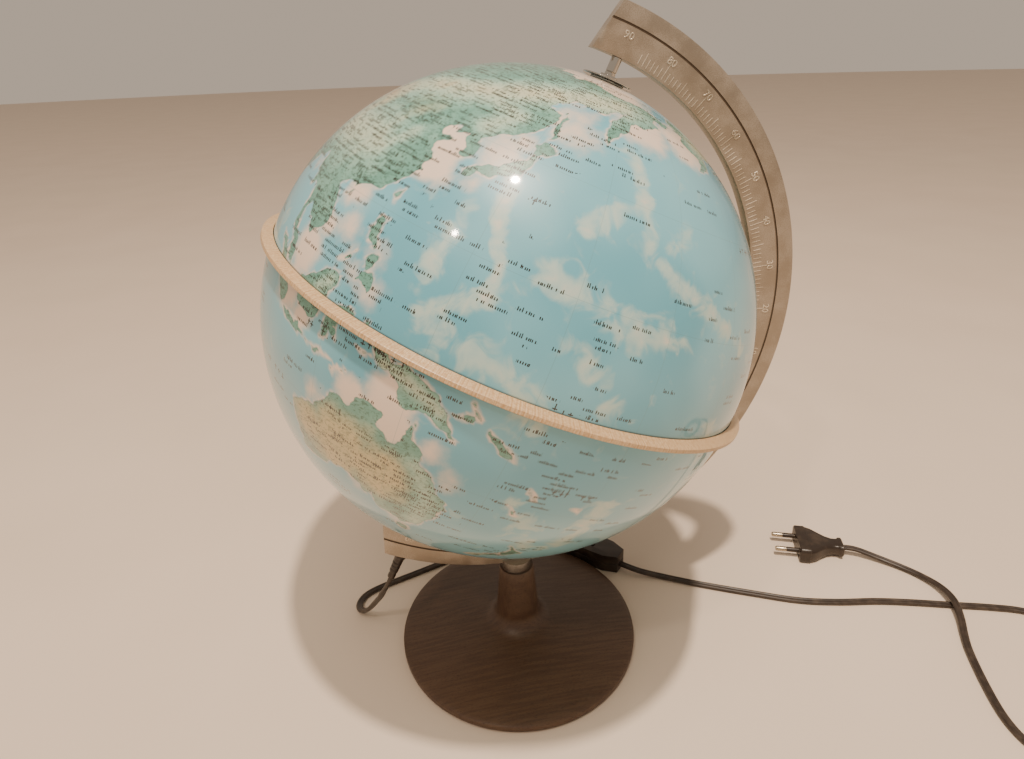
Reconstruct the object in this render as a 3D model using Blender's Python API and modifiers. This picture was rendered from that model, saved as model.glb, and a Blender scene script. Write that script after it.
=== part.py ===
"""A 30 cm illuminated desk globe on a turned foot, with its mains lead, in-line switch and plug.

Frame: metres, +Z up, origin on the table under the middle of the foot. The meridian arm lies in the
XZ plane and the north pole leans towards +X. Lengths below are written in millimetres and scaled by MM.
"""

import math

import bmesh
import bpy
from mathutils import Matrix, Vector

MM = 0.001
GAP = 0.3  # clearance between pieces that touch

# Ball and its axis
BALL_RADIUS = 150.0
BALL_WALL = 2.0
BALL_HEIGHT = 262.0
AXIS_TILT = math.radians(25.0)
BALL_STEPS = 40
BALL_ROWS = 10
NORTH_OPENING = 6.9
SOUTH_OPENING = 23.0
BAND_OUTER = 156.0
BAND_ROOT_HALF = 3.0
BAND_EDGE_HALF = 1.2
JOINING_RING = (144.2, 146.6, 9.0)  # inner radius, outer radius, half height

# Meridian arm
ARM_INNER = 165.5
ARM_OUTER = 195.5
ARM_THICKNESS = 8.4
ARM_TOP_END = (math.radians(6.2), math.radians(3.2))  # past the pole, at the inner and the outer edge
ARM_BOTTOM_END = (math.radians(9.0), math.radians(3.6))
ARM_STEPS = 44
GROOVE_RADIUS = 184.5
GROOVE_WIDTH = 1.4
GROOVE_DEPTH = 0.7

# Foot
FOOT_RADIUS = 87.0
FOOT_UNDERSIDE = 1.8
FOOT_EDGE_TOP = 6.0
STEM_TOP = 61.8
STEM_TOP_RADIUS = 12.6
STEM_LOW_RADIUS = 15.6
STEM_LOW_HEIGHT = 25.0
FILLET_RADIUS = 12.0
FOOT_BORE = 3.4
RECESS_RADIUS = 14.0
RECESS_TOP = 12.0
PAD_RADIUS = 82.0
PAD_THICKNESS = 1.5

# Tie rod, ferrule and the parts on the polar axis
ROD_RADIUS = 2.5
ROD_BOTTOM = 4.5
ROD_INTO_ARM = 14.0
FERRULE_RADIUS = 11.5
FERRULE_RISE = 2.6  # how far its slotted top stands up beside the arm
PIN_RADIUS = 3.3
STUD_RADIUS = 2.2
STUD_INTO_ARM = 12.5
TUBE_RADIUS = 3.0
TUBE_BORE = 2.3
DISC_RADIUS = 15.5
RELIEF_LENGTH = 20.0

# Lamp holder and bulb, heights along the polar axis from the ball's middle
HOLDER_BASE = -140.0
HOLDER_MOUTH = -108.0
HOLDER_RADIUS = 12.0
HOLDER_BORE = 9.5
TUBE_TOP = -134.5
BULB_NECK = -111.7
BULB_RADIUS = 13.0
BULB_TOP = -70.0

# Mains lead: a flat twin lead, drawn as a round tube of a middle size
CORD_TUBE_RADIUS = 1.8
CORD_SPACING = 13.0
CORD_REST = 2.0  # height of its middle when it lies on the table
COIL_MIDDLE = (370.0, -144.0)
COIL_INNER = 24.4
COIL_OUTER = 35.6
COIL_HEIGHT = 7.2

# In-line switch
SWITCH_MIDDLE = (75.5, 66.5)
SWITCH_HEADING = math.radians(-45.0)
SWITCH_HALF_LENGTH = 31.0
SWITCH_HALF_WIDTH = 11.0
SWITCH_HEIGHT = 16.0
SWITCH_SPLIT = 8.0
SWITCH_WALL = 2.0
ROCKER_LENGTH = 12.6
ROCKER_WIDTH = 8.2
ROCKER_HEIGHT = 9.0
ROCKER_PIVOT = 13.0
ROCKER_TILT = math.radians(8.0)
SCREW_OFFSET = 26.0

# Flat two-pin plug
PLUG_FRONT = (254.0, 34.5)
PLUG_HEADING = math.radians(-21.0)
PLUG_LENGTH = 37.0
PLUG_WIDTH = 35.3
PLUG_THICKNESS = 13.7
PLUG_LIFT = 7.2  # height of its middle plane
PIN_SPACING = 18.6
PIN_LENGTH = 19.0
PIN_SOCKET = 8.0
SLEEVE_LENGTH = 9.6

# Ends of the strain relief and of the cord stretches
AXIS = Vector((math.sin(AXIS_TILT), 0.0, math.cos(AXIS_TILT)))
BALL_MIDDLE = Vector((0.0, 0.0, BALL_HEIGHT))
CORD_EXIT = BALL_MIDDLE - AXIS * (ARM_OUTER + RELIEF_LENGTH + 2 * GAP)

LAMP_SIDE_ROUTE = [
    CORD_EXIT,
    CORD_EXIT - AXIS * 5.0,
    (-95.5, 1.0, 57.0),
    (-98.3, 4.8, 49.6),
    (-101.4, 10.4, 40.2),
    (-105.5, 17.6, 30.0),
    (-110.8, 25.4, 18.0),
    (-115.6, 33.0, 9.2),
    (-119.6, 39.6, 5.0),
    (-120.9, 46.6, 3.0),
    (-118.8, 53.4, 2.2),
    (-113.8, 59.0, CORD_REST),
    (-103.0, 64.4, CORD_REST),
    (-88.0, 69.5, CORD_REST),
    (-64.0, 77.5, CORD_REST),
    (-38.0, 86.5, CORD_REST),
    (-12.0, 96.0, CORD_REST),
    (10.0, 101.5, 2.5),
    (27.0, 103.0, 4.2),
    (40.0, 99.5, 5.2),
]
SWITCH_SIDE_ROUTE = [
    (112.0, 33.5, 4.2),
    (128.0, 26.5, CORD_REST),
    (154.2, 11.8, CORD_REST),
    (190.2, -6.1, CORD_REST),
    (221.5, -20.5, CORD_REST),
    (250.0, -28.5, CORD_REST),
    (279.6, -34.0, CORD_REST),
    (306.0, -41.0, CORD_REST),
    (335.0, -50.0, CORD_REST),
    (358.7, -57.2, CORD_REST),
    (380.0, -65.5, CORD_REST),
    (397.0, -79.0, CORD_REST),
    (405.6, -97.0, CORD_REST),
    (408.4, -120.0, CORD_REST),
    (407.8, -142.0, CORD_REST),
]
PLUG_SIDE_ROUTE = [
    (301.0, 15.5, 6.4),
    (312.3, 6.6, 4.2),
    (324.3, -5.6, 2.9),
    (333.0, -19.5, 3.2),
    (336.6, -34.5, 4.9),
    (334.3, -49.5, 6.2),
    (327.3, -64.0, 4.6),
    (319.0, -76.8, 2.8),
    (311.3, -90.0, CORD_REST),
    (300.0, -115.0, CORD_REST),
    (292.0, -138.0, CORD_REST),
    (291.0, -155.0, CORD_REST),
    (296.0, -169.5, CORD_REST),
    (307.5, -180.5, CORD_REST),
    (323.5, -185.2, CORD_REST),
    (345.0, -184.4, CORD_REST),
    (368.0, -181.8, CORD_REST),
]

MODEL = None
CUTTERS = None


def clear_scene():
    """Remove every object and start the collections for the model and its cutters."""
    global MODEL, CUTTERS
    for old in list(bpy.data.objects):
        bpy.data.objects.remove(old, do_unlink=True)
    MODEL = bpy.data.collections.new("desk_globe")
    CUTTERS = bpy.data.collections.new("cutters")
    for group in (MODEL, CUTTERS):
        bpy.context.scene.collection.children.link(group)


def finish(name, color, roughness, metallic=0.0):
    """A Principled material; colour as linear red, green, blue."""
    material = bpy.data.materials.new(name)
    material.use_nodes = True
    shader = material.node_tree.nodes["Principled BSDF"]
    shader.inputs["Base Color"].default_value = (*color, 1.0)
    shader.inputs["Roughness"].default_value = roughness
    shader.inputs["Metallic"].default_value = metallic
    return material


def smooth_by_angle(mesh):
    """Round faces shade smooth and edges over 35 degrees stay sharp."""
    mesh.shade_smooth()
    mesh.set_sharp_from_angle(angle=math.radians(35.0))


def place(obj, material, parent=None, group=None):
    """Link an object, give it its material and hang it on its parent."""
    (group or MODEL).objects.link(obj)
    if material:
        obj.data.materials.append(material)
    obj.parent = parent
    return obj


def turned(name, profile, material, parent=None, steps=24, group=None):
    """A closed (radius, height) outline in millimetres, turned about local Z; the outer side runs down."""
    bm = bmesh.new()
    ring = [bm.verts.new((radius * MM, 0.0, height * MM)) for radius, height in profile]
    for index, vertex in enumerate(ring):
        after = ring[(index + 1) % len(ring)]
        if vertex.co.x > 1e-9 or after.co.x > 1e-9:
            bm.edges.new((vertex, after))
    mesh = bpy.data.meshes.new(name)
    bm.to_mesh(mesh)
    bm.free()
    obj = place(bpy.data.objects.new(name, mesh), material, parent, group)
    screw = obj.modifiers.new("turn", "SCREW")
    screw.steps = steps
    screw.render_steps = steps
    screw.use_merge_vertices = True
    screw.merge_threshold = 0.00001
    screw.use_smooth_shade = False
    return obj


def box(name, low, high, material, parent=None, group=None):
    """A box between two corners in millimetres."""
    bm = bmesh.new()
    size = Vector(high) - Vector(low)
    middle = (Vector(high) + Vector(low)) / 2
    spread = Matrix.Diagonal((*(size * MM), 1.0))
    bmesh.ops.create_cube(bm, size=1.0, matrix=Matrix.Translation(middle * MM) @ spread)
    mesh = bpy.data.meshes.new(name)
    bm.to_mesh(mesh)
    bm.free()
    return place(bpy.data.objects.new(name, mesh), material, parent, group)


def hex_nut(name, across_flats, bore, low, high, material, parent):
    """A hexagonal nut with a plain bore, between two heights on local Z."""
    bm = bmesh.new()
    radius = across_flats / 2 / math.cos(math.pi / 6) * MM
    lift = Matrix.Translation((0.0, 0.0, (low + high) / 2 * MM))
    depth = (high - low) * MM
    bmesh.ops.create_cone(
        bm, cap_ends=True, segments=6, radius1=radius, radius2=radius, depth=depth, matrix=lift
    )
    mesh = bpy.data.meshes.new(name)
    bm.to_mesh(mesh)
    bm.free()
    nut = place(bpy.data.objects.new(name, mesh), material, parent)
    cut(nut, rod_cutter(name + "_bore", bore, low - 1.0, high + 1.0, parent))
    return nut


def flat_outline(name, points, low, high, material=None, parent=None, group=None):
    """A closed (x, y) outline in millimetres, extruded between two heights and welded into a mesh."""
    curve = bpy.data.curves.new(name + "_outline", "CURVE")
    curve.dimensions = "2D"
    curve.fill_mode = "BOTH"
    curve.extrude = (high - low) / 2 * MM
    spline = curve.splines.new("POLY")
    spline.points.add(len(points) - 1)
    for target, (x, y) in zip(spline.points, points):
        target.co = (x * MM, y * MM, 0.0, 1.0)
    spline.use_cyclic_u = True
    guide = bpy.data.objects.new(name + "_outline", curve)
    CUTTERS.objects.link(guide)
    guide.location.z = (high + low) / 2 * MM
    return as_mesh(guide, name, material, parent, group)


def tube(name, points, radius, material, parent=None):
    """A round tube with flat ends along points in millimetres."""
    curve = bpy.data.curves.new(name + "_path", "CURVE")
    curve.dimensions = "3D"
    curve.bevel_depth = radius * MM
    curve.bevel_resolution = 2
    curve.use_fill_caps = True
    spline = curve.splines.new("POLY")
    spline.points.add(len(points) - 1)
    for target, point in zip(spline.points, points):
        target.co = (*(Vector(point) * MM), 1.0)
    guide = bpy.data.objects.new(name + "_path", curve)
    CUTTERS.objects.link(guide)
    return as_mesh(guide, name, material, parent, None)


def as_mesh(guide, name, material, parent, group):
    """The evaluated curve as one welded mesh, with the same placement; the curve is removed."""
    bpy.context.view_layer.update()
    evaluated = guide.evaluated_get(bpy.context.evaluated_depsgraph_get())
    mesh = bpy.data.meshes.new_from_object(evaluated)
    mesh.transform(guide.matrix_world)
    bm = bmesh.new()
    bm.from_mesh(mesh)
    bmesh.ops.remove_doubles(bm, verts=bm.verts, dist=1e-6)
    bmesh.ops.recalc_face_normals(bm, faces=bm.faces)
    bm.to_mesh(mesh)
    bm.free()
    mesh.name = name
    mesh.materials.clear()
    bpy.data.objects.remove(guide, do_unlink=True)
    return place(bpy.data.objects.new(name, mesh), material, parent, group)


def rod_cutter(name, radius, low, high, parent=None, steps=16):
    """A round cutter on local Z of its parent."""
    outline = [(0.0, high), (radius, high), (radius, low), (0.0, low)]
    return turned(name, outline, None, parent, steps, CUTTERS)


def cut(obj, cutter):
    """Subtract a cutter from an object with an exact Boolean."""
    cutter.hide_render = True
    cutter.display_type = "WIRE"
    modifier = obj.modifiers.new("cut_" + cutter.name, "BOOLEAN")
    modifier.operation = "DIFFERENCE"
    modifier.solver = "EXACT"
    modifier.object = cutter


def frame_at(name, location, rotation=(0.0, 0.0, 0.0), parent=None):
    """An empty that carries pieces; location in millimetres."""
    empty = bpy.data.objects.new(name, None)
    MODEL.objects.link(empty)
    empty.parent = parent
    empty.location = Vector(location) * MM
    empty.rotation_euler = rotation
    return empty


def arc(radius, start, end, steps, middle=(0.0, 0.0)):
    """Points on an arc; angles from +X, both ends included."""
    return [
        (
            middle[0] + radius * math.cos(start + (end - start) * step / steps),
            middle[1] + radius * math.sin(start + (end - start) * step / steps),
        )
        for step in range(steps + 1)
    ]


def build_foot(wood, felt, steel, chrome):
    """Turned foot with its felt pad, and the tie rod, washer, nut and ferrule that clamp the arm to it."""
    flare_middle = (STEM_LOW_RADIUS + FILLET_RADIUS, STEM_LOW_HEIGHT)
    flare = arc(FILLET_RADIUS, math.radians(176.0), math.radians(266.0), 7, flare_middle)
    outline = [
        (STEM_TOP_RADIUS - 0.6, STEM_TOP),
        (STEM_TOP_RADIUS, STEM_TOP - 0.6),
        ((STEM_TOP_RADIUS + STEM_LOW_RADIUS) / 2 - 0.2, (STEM_TOP + STEM_LOW_HEIGHT) / 2),
        *flare,
        (45.0, 10.6),
        (66.0, 8.4),
        (FOOT_RADIUS - 3.0, FOOT_EDGE_TOP + 0.8),
        (FOOT_RADIUS - 0.8, FOOT_EDGE_TOP),
        (FOOT_RADIUS, FOOT_EDGE_TOP - 0.9),
        (FOOT_RADIUS, FOOT_UNDERSIDE + 0.6),
        (FOOT_RADIUS - 0.6, FOOT_UNDERSIDE),
        (RECESS_RADIUS, FOOT_UNDERSIDE),
        (RECESS_RADIUS, RECESS_TOP),
        (FOOT_BORE, RECESS_TOP),
        (FOOT_BORE, STEM_TOP),
    ]
    turned("foot", outline, wood, steps=40)
    pad = [(0.0, PAD_THICKNESS), (PAD_RADIUS, PAD_THICKNESS), (PAD_RADIUS, 0.0), (0.0, 0.0)]
    turned("felt_pad", pad, felt, steps=40)

    arm_bottom = BALL_HEIGHT - ARM_OUTER
    rod_top = arm_bottom + ROD_INTO_ARM
    turned(
        "tie_rod",
        [(0.0, rod_top), (ROD_RADIUS, rod_top), (ROD_RADIUS, ROD_BOTTOM), (0.0, ROD_BOTTOM)],
        steel,
        steps=16,
    )
    washer_top = RECESS_TOP - GAP
    washer_low = washer_top - 1.6
    bore = ROD_RADIUS + GAP
    washer = [(11.0, washer_top), (11.0, washer_low), (bore, washer_low), (bore, washer_top)]
    turned("foot_washer", washer, steel)
    nut_top = washer_low - GAP
    hex_nut("foot_nut", 8.0, bore, nut_top - 4.0, nut_top, steel, None)

    low = STEM_TOP + GAP
    top = arm_bottom + FERRULE_RISE
    ferrule = turned(
        "ferrule",
        [
            (FERRULE_RADIUS - 0.6, top),
            (FERRULE_RADIUS, top - 0.6),
            (FERRULE_RADIUS, low + 0.6),
            (FERRULE_RADIUS - 0.6, low),
            (bore, low),
            (bore, top),
        ],
        chrome,
        steps=32,
    )
    half_slot = ARM_THICKNESS / 2 + GAP
    slot_low = (-20.0, -half_slot, arm_bottom - GAP)
    slot = box("ferrule_slot", slot_low, (20.0, half_slot, top + 2.0), None, None, CUTTERS)
    cut(ferrule, slot)


def build_arm(metal, polar):
    """Flat C-shaped arm with its ruled groove and the holes for the rod, the pin and the lamp tube."""

    def from_pole(angle):
        return math.pi / 2 - angle

    outer = arc(ARM_OUTER, from_pole(-ARM_TOP_END[1]), from_pole(math.pi + ARM_BOTTOM_END[1]), ARM_STEPS)
    inner = arc(ARM_INNER, from_pole(math.pi + ARM_BOTTOM_END[0]), from_pole(-ARM_TOP_END[0]), ARM_STEPS)
    half = ARM_THICKNESS / 2
    arm = flat_outline("meridian_arm", outer + inner, -half, half, metal)
    stand_up = Matrix.Rotation(math.pi / 2, 4, "X")
    arm.data.transform(stand_up)
    arm.parent = polar

    reach = math.radians(12.0)
    start, end = from_pole(-reach), from_pole(math.pi + reach)
    groove_line = arc(GROOVE_RADIUS + GROOVE_WIDTH / 2, start, end, ARM_STEPS)
    groove_line += arc(GROOVE_RADIUS - GROOVE_WIDTH / 2, end, start, ARM_STEPS)
    for face, side in (("front", -1), ("back", 1)):
        low, high = sorted((side * (half - GROOVE_DEPTH), side * (half + 2.0)))
        groove = flat_outline(f"groove_{face}", groove_line, low, high, group=CUTTERS)
        groove.data.transform(stand_up)
        groove.parent = polar
        cut(arm, groove)

    stud_end = ARM_INNER + STUD_INTO_ARM + GAP
    stud_hole = rod_cutter("stud_hole", STUD_RADIUS + GAP, ARM_INNER - 5.0, stud_end, polar)
    tube_ends = (-ARM_OUTER - 5.0, -ARM_INNER + 5.0)
    tube_hole = rod_cutter("tube_hole", TUBE_RADIUS + GAP, *tube_ends, polar)
    arm_bottom = BALL_HEIGHT - ARM_OUTER
    rod_end = arm_bottom + ROD_INTO_ARM + GAP
    rod_hole = rod_cutter("rod_hole", ROD_RADIUS + GAP, arm_bottom - 5.0, rod_end)
    for hole in (stud_hole, tube_hole, rod_hole):
        cut(arm, hole)


def build_pole_fittings(chrome, steel, black, polar):
    """Top pivot pin and lock nut; bottom lamp tube, nut, sleeve, support disc and strain relief."""
    shoulder = ARM_INNER - GAP
    stud_top = ARM_INNER + STUD_INTO_ARM
    turned(
        "top_pivot_pin",
        [
            (0.0, stud_top),
            (STUD_RADIUS, stud_top),
            (STUD_RADIUS, shoulder),
            (PIN_RADIUS, shoulder),
            (PIN_RADIUS, 141.0),
            (PIN_RADIUS - 1.0, 140.0),
            (0.0, 140.0),
        ],
        chrome,
        polar,
        20,
    )
    hex_nut("top_lock_nut", 9.6, PIN_RADIUS + GAP, 152.6, 154.6, chrome, polar)

    turned(
        "lamp_tube",
        [
            (TUBE_RADIUS, TUBE_TOP),
            (TUBE_RADIUS, -ARM_OUTER + 5.0),
            (TUBE_BORE, -ARM_OUTER + 5.0),
            (TUBE_BORE, TUBE_TOP),
        ],
        steel,
        polar,
        20,
    )
    nut_low = -ARM_INNER + GAP
    hex_nut("lamp_tube_nut", 9.6, TUBE_RADIUS + GAP, nut_low, nut_low + 3.6, chrome, polar)
    sleeve_low = nut_low + 3.6 + GAP
    turned(
        "support_sleeve",
        [(4.6, -152.9), (4.6, sleeve_low), (TUBE_RADIUS + GAP, sleeve_low), (TUBE_RADIUS + GAP, -152.9)],
        chrome,
        polar,
        20,
    )
    bore = TUBE_RADIUS + GAP
    disc = [(DISC_RADIUS, -151.6), (DISC_RADIUS, -152.6), (bore, -152.6), (bore, -151.6)]
    turned("support_disc", disc, chrome, polar, 32)
    rim = -ARM_OUTER - GAP
    turned(
        "cord_strain_relief",
        [
            (0.0, -ARM_OUTER + 4.7),
            (TUBE_RADIUS, -ARM_OUTER + 4.7),
            (TUBE_RADIUS, rim),
            (3.9, rim),
            (3.9, rim - 1.2),
            (3.3, rim - 2.0),
            (2.7, rim - RELIEF_LENGTH),
            (0.0, rim - RELIEF_LENGTH),
        ],
        black,
        polar,
        20,
    )


def build_lamp(black, brass, glass, copper, polar):
    """Lamp holder with its screw shell and contact, the bulb, and the two leads in the lamp tube."""
    turned(
        "lamp_holder",
        [
            (HOLDER_RADIUS - 0.8, HOLDER_MOUTH),
            (HOLDER_RADIUS, HOLDER_MOUTH - 0.8),
            (HOLDER_RADIUS, HOLDER_BASE + 8.0),
            (9.0, HOLDER_BASE),
            (TUBE_RADIUS + GAP, HOLDER_BASE),
            (TUBE_RADIUS + GAP, HOLDER_BASE + 5.0),
            (HOLDER_BORE, HOLDER_BASE + 5.0),
            (HOLDER_BORE, HOLDER_MOUTH),
        ],
        black,
        polar,
        24,
    )
    turned(
        "holder_screw_shell",
        [(9.0, HOLDER_MOUTH - 1.0), (9.0, -127.0), (8.4, -127.0), (8.4, HOLDER_MOUTH - 1.0)],
        brass,
        polar,
        24,
    )
    box("holder_contact", (-6.0, -1.6, -133.0), (6.0, 1.6, -132.2), brass, polar)
    cap_top = BULB_NECK - GAP
    cap = [(6.9, cap_top), (7.2, -114.0), (7.2, -127.5), (2.6, -130.5), (0.0, -130.5), (0.0, cap_top)]
    turned("bulb_cap", cap, brass, polar, 20)
    wall = 0.8
    outer = [(0.0, BULB_TOP), (6.4, BULB_TOP - 1.8), (10.8, BULB_TOP - 6.2)]
    outer += [(BULB_RADIUS, BULB_TOP - 13.0), (BULB_RADIUS, -92.0)]
    outer += [(10.4, -100.0), (7.0, -106.0), (6.6, BULB_NECK)]
    inner = [
        (max(radius - wall, 0.0), height - wall * (height > -90.0))
        for radius, height in reversed(outer)
    ]
    turned("bulb_glass", outer + inner, glass, polar, 20)
    filament = [(-2.5, 0.0, -111.0), (-2.5, 0.0, -97.0), (-5.0, 0.0, -88.0), (-1.5, 0.0, -84.0)]
    filament += [(1.5, 0.0, -84.0), (5.0, 0.0, -88.0), (2.5, 0.0, -97.0), (2.5, 0.0, -111.0)]
    tube("bulb_filament", filament, 0.4, copper, polar)
    for label, offset in (("live", 1.15), ("neutral", -1.15)):
        ends = [(offset, 0.0, -ARM_OUTER + 5.2), (offset, 0.0, TUBE_TOP + 0.9)]
        tube(f"inner_lead_{label}", ends, 0.8, copper, polar)


def hemisphere(name, opening, side, paint, ball):
    """Half of the ball's shell, with a round opening at its pole; side is +1 for north."""
    inner_radius = BALL_RADIUS - BALL_WALL
    points = []
    for radius in (BALL_RADIUS, inner_radius):
        start = math.asin(GAP / radius)
        end = math.acos(opening / radius)
        points.append(arc(radius, start, end, BALL_ROWS))
    outline = points[0] + points[1][::-1]
    outline = [(radius, side * height) for radius, height in outline]
    if side > 0:
        outline.reverse()
    return turned(name, outline, paint, ball, BALL_STEPS)


def build_ball(paint, tan, white, chrome, ball):
    """Two shells, the ring inside their joint, the band outside it, and the fittings at both poles."""
    hemisphere("north_hemisphere", NORTH_OPENING, 1, paint, ball)
    hemisphere("south_hemisphere", SOUTH_OPENING, -1, paint, ball)
    inner, outer, half = JOINING_RING
    ring = [(outer, half), (outer, -half), (inner, -half), (inner, half)]
    turned("joining_ring", ring, white, ball, BALL_STEPS)
    root = BALL_RADIUS + GAP
    band = [(root, BAND_ROOT_HALF), (BAND_OUTER, BAND_EDGE_HALF)]
    band += [(BAND_OUTER, -BAND_EDGE_HALF), (root, -BAND_ROOT_HALF)]
    turned("equator_band", band, tan, ball, BALL_STEPS)
    bore = PIN_RADIUS + GAP
    turned(
        "north_bush",
        [
            (10.5, 151.0),
            (10.5, 150.15),
            (6.5, 150.15),
            (6.5, 147.2),
            (9.5, 147.2),
            (9.5, 145.8),
            (6.5, 145.8),
            (6.5, 142.5),
            (bore, 142.5),
            (bore, 151.0),
        ],
        white,
        ball,
        20,
    )
    turned(
        "pole_disc",
        [(DISC_RADIUS, 152.3), (DISC_RADIUS, 151.3), (bore, 151.3), (bore, 152.3)],
        chrome,
        ball,
        32,
    )
    bore = TUBE_RADIUS + 2 * GAP
    turned(
        "south_bush",
        [
            (22.4, -144.0),
            (22.4, -148.7),
            (25.5, -148.7),
            (25.5, -150.2),
            (8.0, -150.4),
            (8.0, -151.3),
            (bore, -151.3),
            (bore, -142.0),
            (6.5, -142.0),
            (6.5, -146.5),
            (20.5, -146.5),
            (20.5, -144.0),
        ],
        white,
        ball,
        32,
    )


def switch_outline(inset=0.0):
    """Boat-shaped plan of the in-line switch, wide in the middle and narrow at both cord ends."""
    half_length = SWITCH_HALF_LENGTH - inset
    half_width = SWITCH_HALF_WIDTH - inset
    end_half = half_width * 0.55
    right = [
        (half_length, -end_half),
        (half_length, end_half),
        (half_length * 0.62, half_width * 0.96),
        (half_length * 0.3, half_width),
    ]
    left = [(-x, y) for x, y in reversed(right)]
    near_left = [(-half_length, -end_half)] + [(-x, -y) for x, y in right[2:]]
    near_right = [(x, -y) for x, y in reversed(right[2:])]
    return right[1:] + left[:-1] + near_left + near_right + [right[0]]


def build_switch(black, glossy, brass, steel):
    """In-line rocker switch: two shells held by screws, rocker on its pin, and two contact strips."""
    holder = frame_at("switch_frame", (*SWITCH_MIDDLE, 0.0), (0.0, 0.0, SWITCH_HEADING))
    base = 0.3
    lower = flat_outline("switch_bottom_shell", switch_outline(), base, SWITCH_SPLIT, black, holder)
    upper_low = SWITCH_SPLIT + GAP
    upper = flat_outline("switch_top_shell", switch_outline(), upper_low, SWITCH_HEIGHT, black, holder)
    cavity = (19.0, 8.0)  # half length and half width
    floor_corner = (-cavity[0], -cavity[1], base + SWITCH_WALL)
    split_corner = (*cavity, SWITCH_SPLIT + 2.0)
    cavity_low = box("switch_cavity_low", floor_corner, split_corner, None, holder, CUTTERS)
    split_corner = (-cavity[0], -cavity[1], SWITCH_SPLIT - 2.0)
    roof_corner = (*cavity, SWITCH_HEIGHT - SWITCH_WALL)
    cavity_high = box("switch_cavity_high", split_corner, roof_corner, None, holder, CUTTERS)
    opening_half = (ROCKER_LENGTH / 2 + 1.2, ROCKER_WIDTH / 2 + 0.4)
    opening = box(
        "rocker_opening",
        (-opening_half[0], -opening_half[1], SWITCH_SPLIT + 1.0),
        (opening_half[0], opening_half[1], SWITCH_HEIGHT + 2.0),
        None,
        holder,
        CUTTERS,
    )
    cut(lower, cavity_low)
    cut(upper, cavity_high)
    cut(upper, opening)
    for index, side in enumerate((-1, 1), start=1):
        place_x = side * SCREW_OFFSET
        spot = frame_at(f"screw_frame_{index}", (place_x, 0.0, 0.0), parent=holder)
        cut(lower, rod_cutter(f"screw_hole_{index}", 1.6, -1.0, SWITCH_SPLIT + 1.0, spot, 12))
        cut(lower, rod_cutter(f"screw_sink_{index}", 2.8, -1.0, 2.6, spot, 12))
        cut(upper, rod_cutter(f"screw_socket_{index}", 1.6, SWITCH_SPLIT - 1.0, 13.4, spot, 12))
        screw = [(0.0, 13.0), (1.3, 13.0), (1.3, 2.3), (2.4, 2.3), (2.4, 0.6), (0.0, 0.6)]
        turned(f"switch_screw_{index}", screw, steel, spot, 12)
        strip = [(6.0, 2.7), (17.0, 2.7), (17.0, 3.6), (7.0, 3.6), (7.0, 7.2), (6.0, 7.2)]
        contact = flat_outline(f"switch_contact_{index}", [(side * x, y) for x, y in strip], -2.2, 2.2, brass)
        contact.data.transform(Matrix.Rotation(math.pi / 2, 4, "X"))
        contact.parent = holder

    pivot = frame_at("rocker_pivot", (0.0, 0.0, ROCKER_PIVOT), (0.0, ROCKER_TILT, 0.0), holder)
    half_length = ROCKER_LENGTH / 2
    half_height = ROCKER_HEIGHT / 2
    side_view = [(half_length, half_height), (0.0, half_height - 1.0), (-half_length, half_height)]
    side_view += [(-half_length + 0.4, 0.0), (-3.4, -half_height + 1.2), (0.0, -half_height)]
    side_view += [(3.4, -half_height + 1.2), (half_length - 0.4, 0.0)]
    rocker = flat_outline("switch_rocker", side_view, -ROCKER_WIDTH / 2, ROCKER_WIDTH / 2, glossy)
    rocker.data.transform(Matrix.Rotation(math.pi / 2, 4, "X"))
    rocker.parent = pivot
    across = frame_at("rocker_pin_frame", (0.0, 0.0, ROCKER_PIVOT), (math.pi / 2, 0.0, 0.0), holder)
    cut(rocker, rod_cutter("rocker_bore", 1.2, -6.0, 6.0, across, 12))
    turned("rocker_pin", [(0.0, 7.6), (0.8, 7.6), (0.8, -7.6), (0.0, -7.6)], steel, across, 12)
    return holder


def build_plug(black, nickel):
    """Flat two-pin plug lying on its side: moulded body, two pins and their insulating sleeves."""
    holder = frame_at("plug_frame", (*PLUG_FRONT, PLUG_LIFT), (0.0, 0.0, PLUG_HEADING))
    half = PLUG_WIDTH / 2
    upper = [(0.0, half - 1.2), (1.2, half), (9.5, half), (13.5, half - 2.2), (18.5, half - 6.6)]
    upper += [(23.5, half - 10.0), (29.0, half - 11.4), (33.5, half - 11.0)]
    upper += [(PLUG_LENGTH - 0.8, half - 9.6), (PLUG_LENGTH, half - 10.0)]
    outline = upper[::-1] + [(x, -y) for x, y in upper]
    thickness = PLUG_THICKNESS / 2
    body = flat_outline("plug_body", outline, -thickness, thickness, black, holder)
    for index, side in enumerate((-1, 1), start=1):
        start = (0.0, side * PIN_SPACING / 2, 0.0)
        along = frame_at(f"pin_frame_{index}", start, (0.0, -math.pi / 2, 0.0), holder)
        cut(body, rod_cutter(f"pin_socket_{index}", 1.3 + GAP, -PIN_SOCKET, 3.0, along, 12))
        pin = [(0.0, PIN_LENGTH), (1.3, PIN_LENGTH), (2.0, PIN_LENGTH - 0.7), (2.0, SLEEVE_LENGTH + 2 * GAP)]
        pin += [(1.3, SLEEVE_LENGTH + 2 * GAP), (1.3, -PIN_SOCKET + GAP), (0.0, -PIN_SOCKET + GAP)]
        turned(f"plug_pin_{index}", pin, nickel, along, 12)
        sleeve_top = SLEEVE_LENGTH + GAP
        sleeve = [(2.0, sleeve_top), (2.0, GAP), (1.3 + GAP, GAP), (1.3 + GAP, sleeve_top)]
        turned(f"plug_pin_sleeve_{index}", sleeve, black, along, 12)


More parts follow.
